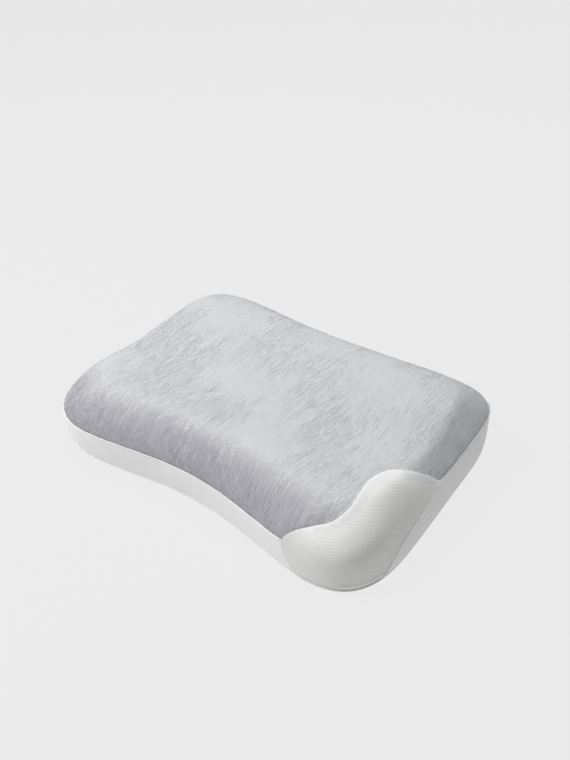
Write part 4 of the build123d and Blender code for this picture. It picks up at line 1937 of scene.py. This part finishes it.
@dataclass
class CareLabel:
    """Blank label on the back band."""

    cover: Cover
    flat_size: tuple[float, float] = (34.0 * MM, 31.0 * MM)
    cells: tuple[int, int] = (24, 20)
    thickness: float = 0.35 * MM
    lift: float = 0.75 * MM
    curl: float = 0.25 * MM
    curl_up: float = 3.0
    curl_along: float = 90.0

    def build(self, material: bpy.types.Material) -> None:
        """Makes the label.

        Args:
            material: Its finish.
        """
        low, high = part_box("care_label")
        bm = bmesh.new()
        bmesh.ops.create_grid(bm, x_segments=self.cells[0], y_segments=self.cells[1], size=0.5)
        flat = places(bm)
        x = low.x + (flat[:, 0] + 0.5) * (high.x - low.x)
        z = low.z + (flat[:, 1] + 0.5) * (high.z - low.z)
        points = np.column_stack([x, np.zeros(len(x)), z])
        points = self.cover.form.slide_out(points, 1, 50.0 * MM, 300.0 * MM)
        wave = np.sin((z - low.z) / (high.z - low.z) * self.curl_up + x * self.curl_along)
        points[:, 1] += self.lift + self.curl * wave
        move_to(bm, points)
        bmesh.ops.reverse_faces(bm, faces=bm.faces)
        label = make_object(bm, "blank_care_label", material)
        thicken(label, self.thickness)
        fasten(label, "care_label")


def main() -> None:
    """Builds the pillow in order and reports each piece."""
    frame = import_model()
    studio = Studio()
    studio.camera()
    form = PillowForm()
    pattern = Pattern(form)
    pattern.read_frame(frame)
    cover = Cover(form, pattern)
    knit = KnitFinish().make("white_knit")
    skin = cover.blank()
    Filling(cover).build(skin, FoamFinish().make("foam"), KnitFinish(loop=0.8 * MM).make("jersey"))
    cover.cut_panels(skin)
    plush = cover.panel(skin, Panel.PLUSH, "plush_cover", PlushFinish().make("plush"), "grey_plush",
                        "plush_top_panel")
    rib = RibFinish().make("ribbed_knit")
    corner = cover.panel(skin, Panel.CORNER, "ribbed_corner", rib, "ribbed_knit",
                         "ribbed_corner_panel", finer=2)
    for panel, name in ((Panel.FRONT, "front_band"), (Panel.RIGHT, "right_band"), (Panel.BACK, "back_band"),
                        (Panel.LEFT_UPPER, "left_band_upper"), (Panel.LEFT_LOWER, "left_band_lower")):
        cover.panel(skin, panel, f"{name}_cloth", knit, "white_band", name)
    cover.panel(skin, Panel.BOTTOM, "underside_cloth", KnitFinish(loop=1.6 * MM).make("underside"),
                "underside_knit", "bottom_panel")
    skin.free()
    Pile(cover).build(plush, PlushFinish().make("pile", locks=True))
    thread = ThreadFinish().make("thread")
    Trim(cover).build(ThreadFinish(twist=700.0).make("welt_cloth"), rib, thread, corner)
    CareLabel(cover).build(WovenFinish(pitch=0.45 * MM).make("label_weave"))
    Zip(frame, cover).build(
        WovenFinish().make("zip_tape_weave"),
        HardFinish((0.8, 0.8, 0.81), (0.7, 0.7, 0.71), 0.4).make("tooth_plastic"),
        HardFinish((0.78, 0.78, 0.8), (0.6, 0.6, 0.62), 0.3, 0.4).make("enamel"), thread)
    studio.build()
    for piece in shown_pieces():
        LOG.info("%s: %d faces", piece.name, len(piece.data.polygons))


if __name__ == "__main__":
    logging.basicConfig(level=logging.INFO)
    main()
